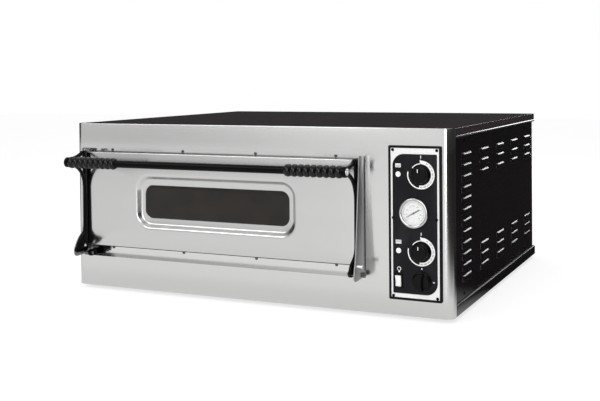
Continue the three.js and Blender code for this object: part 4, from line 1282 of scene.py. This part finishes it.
def arm_loops():
    a = ahead
    back = ahead(10.3)
    eye_y, eye_z, eye_r = bar_middle.y, bar_middle.z, 12
    rim = outline(
        (back, 99), (a(45), 98.5), ((a(56), 98), (a(54.5), 106)), ((a(51), 118), (a(40), 126)),
        ((a(22), 136), (a(20), 152)), (a(19), 255), ((a(21), 288), (a(42), 302)),
        ((a(56), 310), (a(67), 314.5)),
    )
    rim += arc(eye_y, eye_z, eye_r, -PI * 0.2, -PI * 1.38, 18)
    rim += outline((a(66), 331.6), ((a(60), 334), (a(46), 337)), ((a(32), 341), (a(26), 346)), (back, 346))
    gap = outline(
        (a(62), 322), ((a(34), 310), (a(23), 290)), ((a(19.5), 286), (a(19.5), 294)), (a(20.5), 334),
        ((a(22), 338), (a(30), 334)), ((a(45), 328), (a(60), 326)),
    )
    return [rim, gap]


def door_shadow_lip():
    """A black plastic lip under the door's lower edge, standing in for the dark line there: a painted shadow.
    """
    back = node_box("door_inner_skin")[1].y
    lip = rounded_box(
        (DOOR_X - DOOR_HALF + 4, DOOR_FACE + 2, DOOR_BOTTOM - 1.4),
        (DOOR_X + DOOR_HALF - 4, back, DOOR_BOTTOM), 0.5, 2,
    )
    piece("door_painted_shadow_lip", lip, BLACK_PLASTIC, body="door")


def handle():
    rod = [
        (0, 0), (BAR_R - 0.8, 0), (BAR_R, 0.8), (BAR_R, bar_high.x - bar_low.x - 0.8),
        (BAR_R - 0.8, bar_high.x - bar_low.x), (0, bar_high.x - bar_low.x),
    ]
    piece(
        "handle_rod", lathe(rod, (bar_low.x, bar_middle.y, bar_middle.z), (1, 0, 0)), BLACK_CAST,
        body="door", replaces="handle_bar",
    )
    ribs = 9
    for name, side in SIDES:
        low, high = node_box(f"{name}_handle_grip")
        length = high.x - low.x
        r = (high.z - low.z) / 2
        bore = BAR_R + 0.1
        start = low.x if side > 0 else high.x
        valley = r - 3.6
        profile = [(bore, 0), (valley, 0)]
        fine = 12
        for i in range(ribs * fine + 1):
            swell = abs(math.sin(PI * i / fine)) ** 0.65
            profile.append((valley + (r - valley) * swell, 0.4 + (length - 0.8) * i / (ribs * fine)))
        profile += [(valley, length), (bore, length), (bore, 0)]
        mesh = lathe(profile, (start, bar_middle.y, bar_middle.z), (side, 0, 0), 40)
        piece(f"{name}_grip_sleeve", mesh, GRIP_RUBBER, body="door", replaces=f"{name}_handle_grip")


def door_bolt(name, node, side, material, profile_for, head_r):
    """A turned bolt from its outer end inwards, with a hexagon socket sunk in that end."""
    low, high, middle = node_spot(node)
    start = high.x - 1.2 if side > 0 else low.x + 1.2
    shank = lathe(profile_for(high.x - low.x), (start, middle.y, middle.z), (-side, 0, 0), 40)
    socket = (start - side * 0.2, middle.y, middle.z)
    cap = cross_head(socket, (side, 0, 0), head_r, rise=1.6, cross=False)
    piece(name, joined(shank, cap), material, body="door", replaces=node)
    return middle


def plate_bolt_profile(side):
    """A short barrel on the left, and a long one that clears the shield on the right."""
    barrel, shank, stem = 4.2, 3, 10.6 if side > 0 else 1.6
    return lambda length: [
        (0, 0), (barrel, 0), (barrel, stem), (shank, stem), (shank, length - 2), (2.2, length - 1.2),
        (0, length - 1.2),
    ]


def pivot_pin_profile(length):
    head, shank = 5.2, 4
    return [
        (0, 0), (head, 0), (head, 2.8), (shank, 2.8), (shank, length - 2.4), (3, length - 1.2),
        (0, length - 1.2),
    ]


def handle_arm(name, side):
    low, high = node_box(f"{name}_handle_arm")
    width, r, turn = high.x - low.x, 12, 0.6
    arm = slab(arm_loops(), width, facing_right(low.x), bevel=2.0, steps=3)
    eye = [(0, 0), (r - turn, 0), (r, turn), (r, width - turn), (r - turn, width), (0, width)]
    boss = lathe(eye, (low.x, bar_middle.y, bar_middle.z), (1, 0, 0))
    piece(f"{name}_arm_casting", joined(arm, boss), BLACK_CAST, body="door", replaces=f"{name}_handle_arm")
    far, near = (high.x, low.x) if side > 0 else (low.x, high.x)
    eye_screw = [(far, bar_middle.y, bar_middle.z)]
    screws(f"{name}_eye_screw", eye_screw, (side, 0, 0), 7.8, CHROME, "door", cross=False, rise=2.4)
    if side < 0:
        bolt = node_middle(f"{name}_arm_bolt")
        nut = [(near, bolt.y, bolt.z)]
        screws("left_arm_nut", nut, (1, 0, 0), 3.8, CHROME, "door", cross=False, rise=1.8)


def door_sides():
    for name, side in SIDES:
        low, high = node_box(f"{name}_door_plate")
        plate = slab([side_plate_outline(name)], high.x - low.x, facing_right(low.x), bevel=0.35, steps=2)
        # The side plates' darker steel is a painted dark reflection.
        piece(f"{name}_side_plate", plate, STEEL_PLATE, body="door", replaces=f"{name}_door_plate")
        handle_arm(name, side)
        door_bolt(f"{name}_plate_bolt", f"{name}_arm_bolt", side, CHROME, plate_bolt_profile(side), 4.1)
        pin = door_bolt(f"{name}_hinge_pin", f"{name}_pivot_pin", side, DARK_SCREW_METAL, pivot_pin_profile, 5.1)
        hinge_lug(name, side, pin.y, pin.z)


def hinge_lug(name, side, pin_y, pin_z):
    low, high = node_box(f"{name}_hinge_bracket")
    rest = high.y
    ear = [(rest, pin_z - 8), (rest, pin_z + 8)] + arc(pin_y, pin_z, 8, PI / 2, PI * 1.5, 14)
    hole = circle(pin_y, pin_z, 4.3, 24)[::-1]
    ear_low = high.x - 7 if side > 0 else low.x
    pad_low, pad_high = (low.x, high.x - 3) if side > 0 else (low.x + 3, high.x)
    lug = slab([ear[::-1], hole], 7, facing_right(ear_low), bevel=0.8)
    pad = rounded_box((pad_low, rest - 4, low.z), (pad_high, rest, high.z), 0.8)
    piece(f"{name}_hinge_lug", joined(lug, pad), BLACK_CAST, replaces=f"{name}_hinge_bracket")


# ------------------------------------------------------------------ studio
def floor():
    made = Surface(
        "studio_floor", (0.35, 0.35, 0.35), roughness=0.9, Specular_IOR_Level=0.0,
        Emission_Color=(1, 1, 1, 1),
    )
    split = made.nodes.new("ShaderNodeSeparateXYZ")
    made.links.new(made.coords, split.inputs[0])
    # Painted reflection: to glossy rays only, the floor is a little darker everywhere and goes near-black
    # without glow towards the back and to the right, so that steel and enamel reflect it dark.
    near = made.spread(split.outputs["Y"], -0.60, -0.46, 0.10, 0.16)
    rear = made.spread(split.outputs["Y"], -0.40, 0.0)
    right = made.spread(split.outputs["X"], 0.6, 1.1)
    dark = made.maths("MAXIMUM", made.maths("MAXIMUM", near, rear), right)
    dim = made.maths("MULTIPLY", dark, made.nodes.new("ShaderNodeLightPath").outputs["Is Glossy Ray"])
    pale = made.blend(made.noise(3, detail=3), (0.34, 0.34, 0.34), (0.36, 0.36, 0.36))
    made.put("Base Color", made.blend(dim, pale, (0.02, 0.017, 0.017)))
    made.put("Emission Strength", made.spread(dim, 0, 1, 0.74, 0.0))
    mesh = mesh_from([(-9, -9, 0), (9, -9, 0), (9, 9, 0), (-9, 9, 0)], [(0, 1, 2, 3)])
    mesh.materials.append(made.mat)
    obj = bpy.data.objects.new("studio_floor", mesh)
    bpy.context.scene.collection.objects.link(obj)


def surroundings():
    """White behind the object; for reflections, bright in front and overhead, dim at the sides and back."""
    world = bpy.data.worlds.new("studio")
    bpy.context.scene.world = world
    world.use_nodes = True
    sky = Graph(world.node_tree)
    nodes, links = sky.nodes, sky.links
    nodes.clear()
    coords = nodes.new("ShaderNodeTexCoord")
    split = nodes.new("ShaderNodeSeparateXYZ")
    links.new(coords.outputs["Generated"], split.inputs[0])

    in_front = sky.maths(
        "MULTIPLY", sky.spread(split.outputs["Y"], -0.55, -0.30, 1.0, 0.03, smooth=True),
        sky.spread(split.outputs["X"], 0.1, 0.45, 1.0, 0.03, smooth=True),
    )
    in_front = sky.maths(
        "MULTIPLY", in_front, sky.spread(split.outputs["X"], -0.6, -0.33, 0.68, 1.0, smooth=True)
    )
    overhead = sky.spread(split.outputs["Z"], 0.3, 0.8, 0.03, 0.9, smooth=True)
    strength = sky.maths("MAXIMUM", in_front, overhead)
    lit = nodes.new("ShaderNodeBackground")
    lit.inputs["Color"].default_value = (1, 1, 1, 1)
    links.new(strength, lit.inputs["Strength"])
    backdrop = nodes.new("ShaderNodeBackground")
    backdrop.inputs["Color"].default_value = (1, 1, 1, 1)
    backdrop.inputs["Strength"].default_value = 1.0
    path = nodes.new("ShaderNodeLightPath")
    mix = nodes.new("ShaderNodeMixShader")
    links.new(path.outputs["Is Camera Ray"], mix.inputs["Fac"])
    links.new(lit.outputs[0], mix.inputs[1])
    links.new(backdrop.outputs[0], mix.inputs[2])
    out = nodes.new("ShaderNodeOutputWorld")
    links.new(mix.outputs[0], out.inputs["Surface"])


def softbox(name, place, target, width, height, power):
    light = bpy.data.lights.new(name, "AREA")
    light.shape = "RECTANGLE"
    light.size, light.size_y = width, height
    light.energy = power
    obj = bpy.data.objects.new(name, light)
    obj.location = place
    obj.rotation_euler = (Vector(target) - Vector(place)).to_track_quat("-Z", "Y").to_euler()
    bpy.context.scene.collection.objects.link(obj)


def camera():
    data = bpy.data.cameras.new("camera")
    data.sensor_width = 36
    data.lens = 57.21
    data.shift_x, data.shift_y = -0.0485, -0.1745
    yaw, pitch, roll = (math.radians(a) for a in (24.10, 1.18, -0.50))
    forward = Vector((-math.sin(yaw) * math.cos(pitch), math.cos(yaw) * math.cos(pitch), -math.sin(pitch)))
    right = Vector((math.cos(yaw), math.sin(yaw), 0))
    up = right.cross(forward)
    x_axis = right * math.cos(roll) + up * math.sin(roll)
    y_axis = up * math.cos(roll) - right * math.sin(roll)
    obj = bpy.data.objects.new("camera", data)
    obj.matrix_world = plane(x_axis, y_axis, (1.066, -2.2815, 0.525))
    bpy.context.scene.collection.objects.link(obj)
    bpy.context.scene.camera = obj


def studio():
    floor()
    surroundings()
    softbox("key_light", (-1.6, -2.6, 2.4), (0, 0, 0.2), 1.8, 1.4, 25)
    softbox("corner_light", (0.75, -2.9, 0.9), (0.1, -0.36, 0.3), 1.1, 2.2, 30)
    softbox("top_light", (0.4, 0.2, 2.6), (0, 0, 0.4), 2.0, 2.0, 15)
    softbox("rear_light", (0.75, 3.4, 1.15), (0.48, 0.0, 0.2), 1.3, 0.5, 11)
    softbox("low_rear_light", (0.2, 3.0, 0.22), (0.48, 0.0, 0.2), 0.35, 0.4, 2.5)
    bpy.context.scene.view_settings.view_transform = "Standard"


camera()
dress_carried_nodes()
front_panel()
top_cover()
base_tray()
cabinet_sides()
cabinet_feet()
cabinet_rear()
chamber_front()
baking_stones()
heating_elements()
chamber_lamp()
control_facings()
for level in LEVELS:
    thermostat_scale(level)
    thermostat_knob(level)
    pilot_light(level)
switch_icons()
main_switch_knob()
thermometer()
light_switch()
door_skin()
door_window()
door_shadow_lip()
handle()
door_sides()
studio()

bpy.context.view_layer.update()
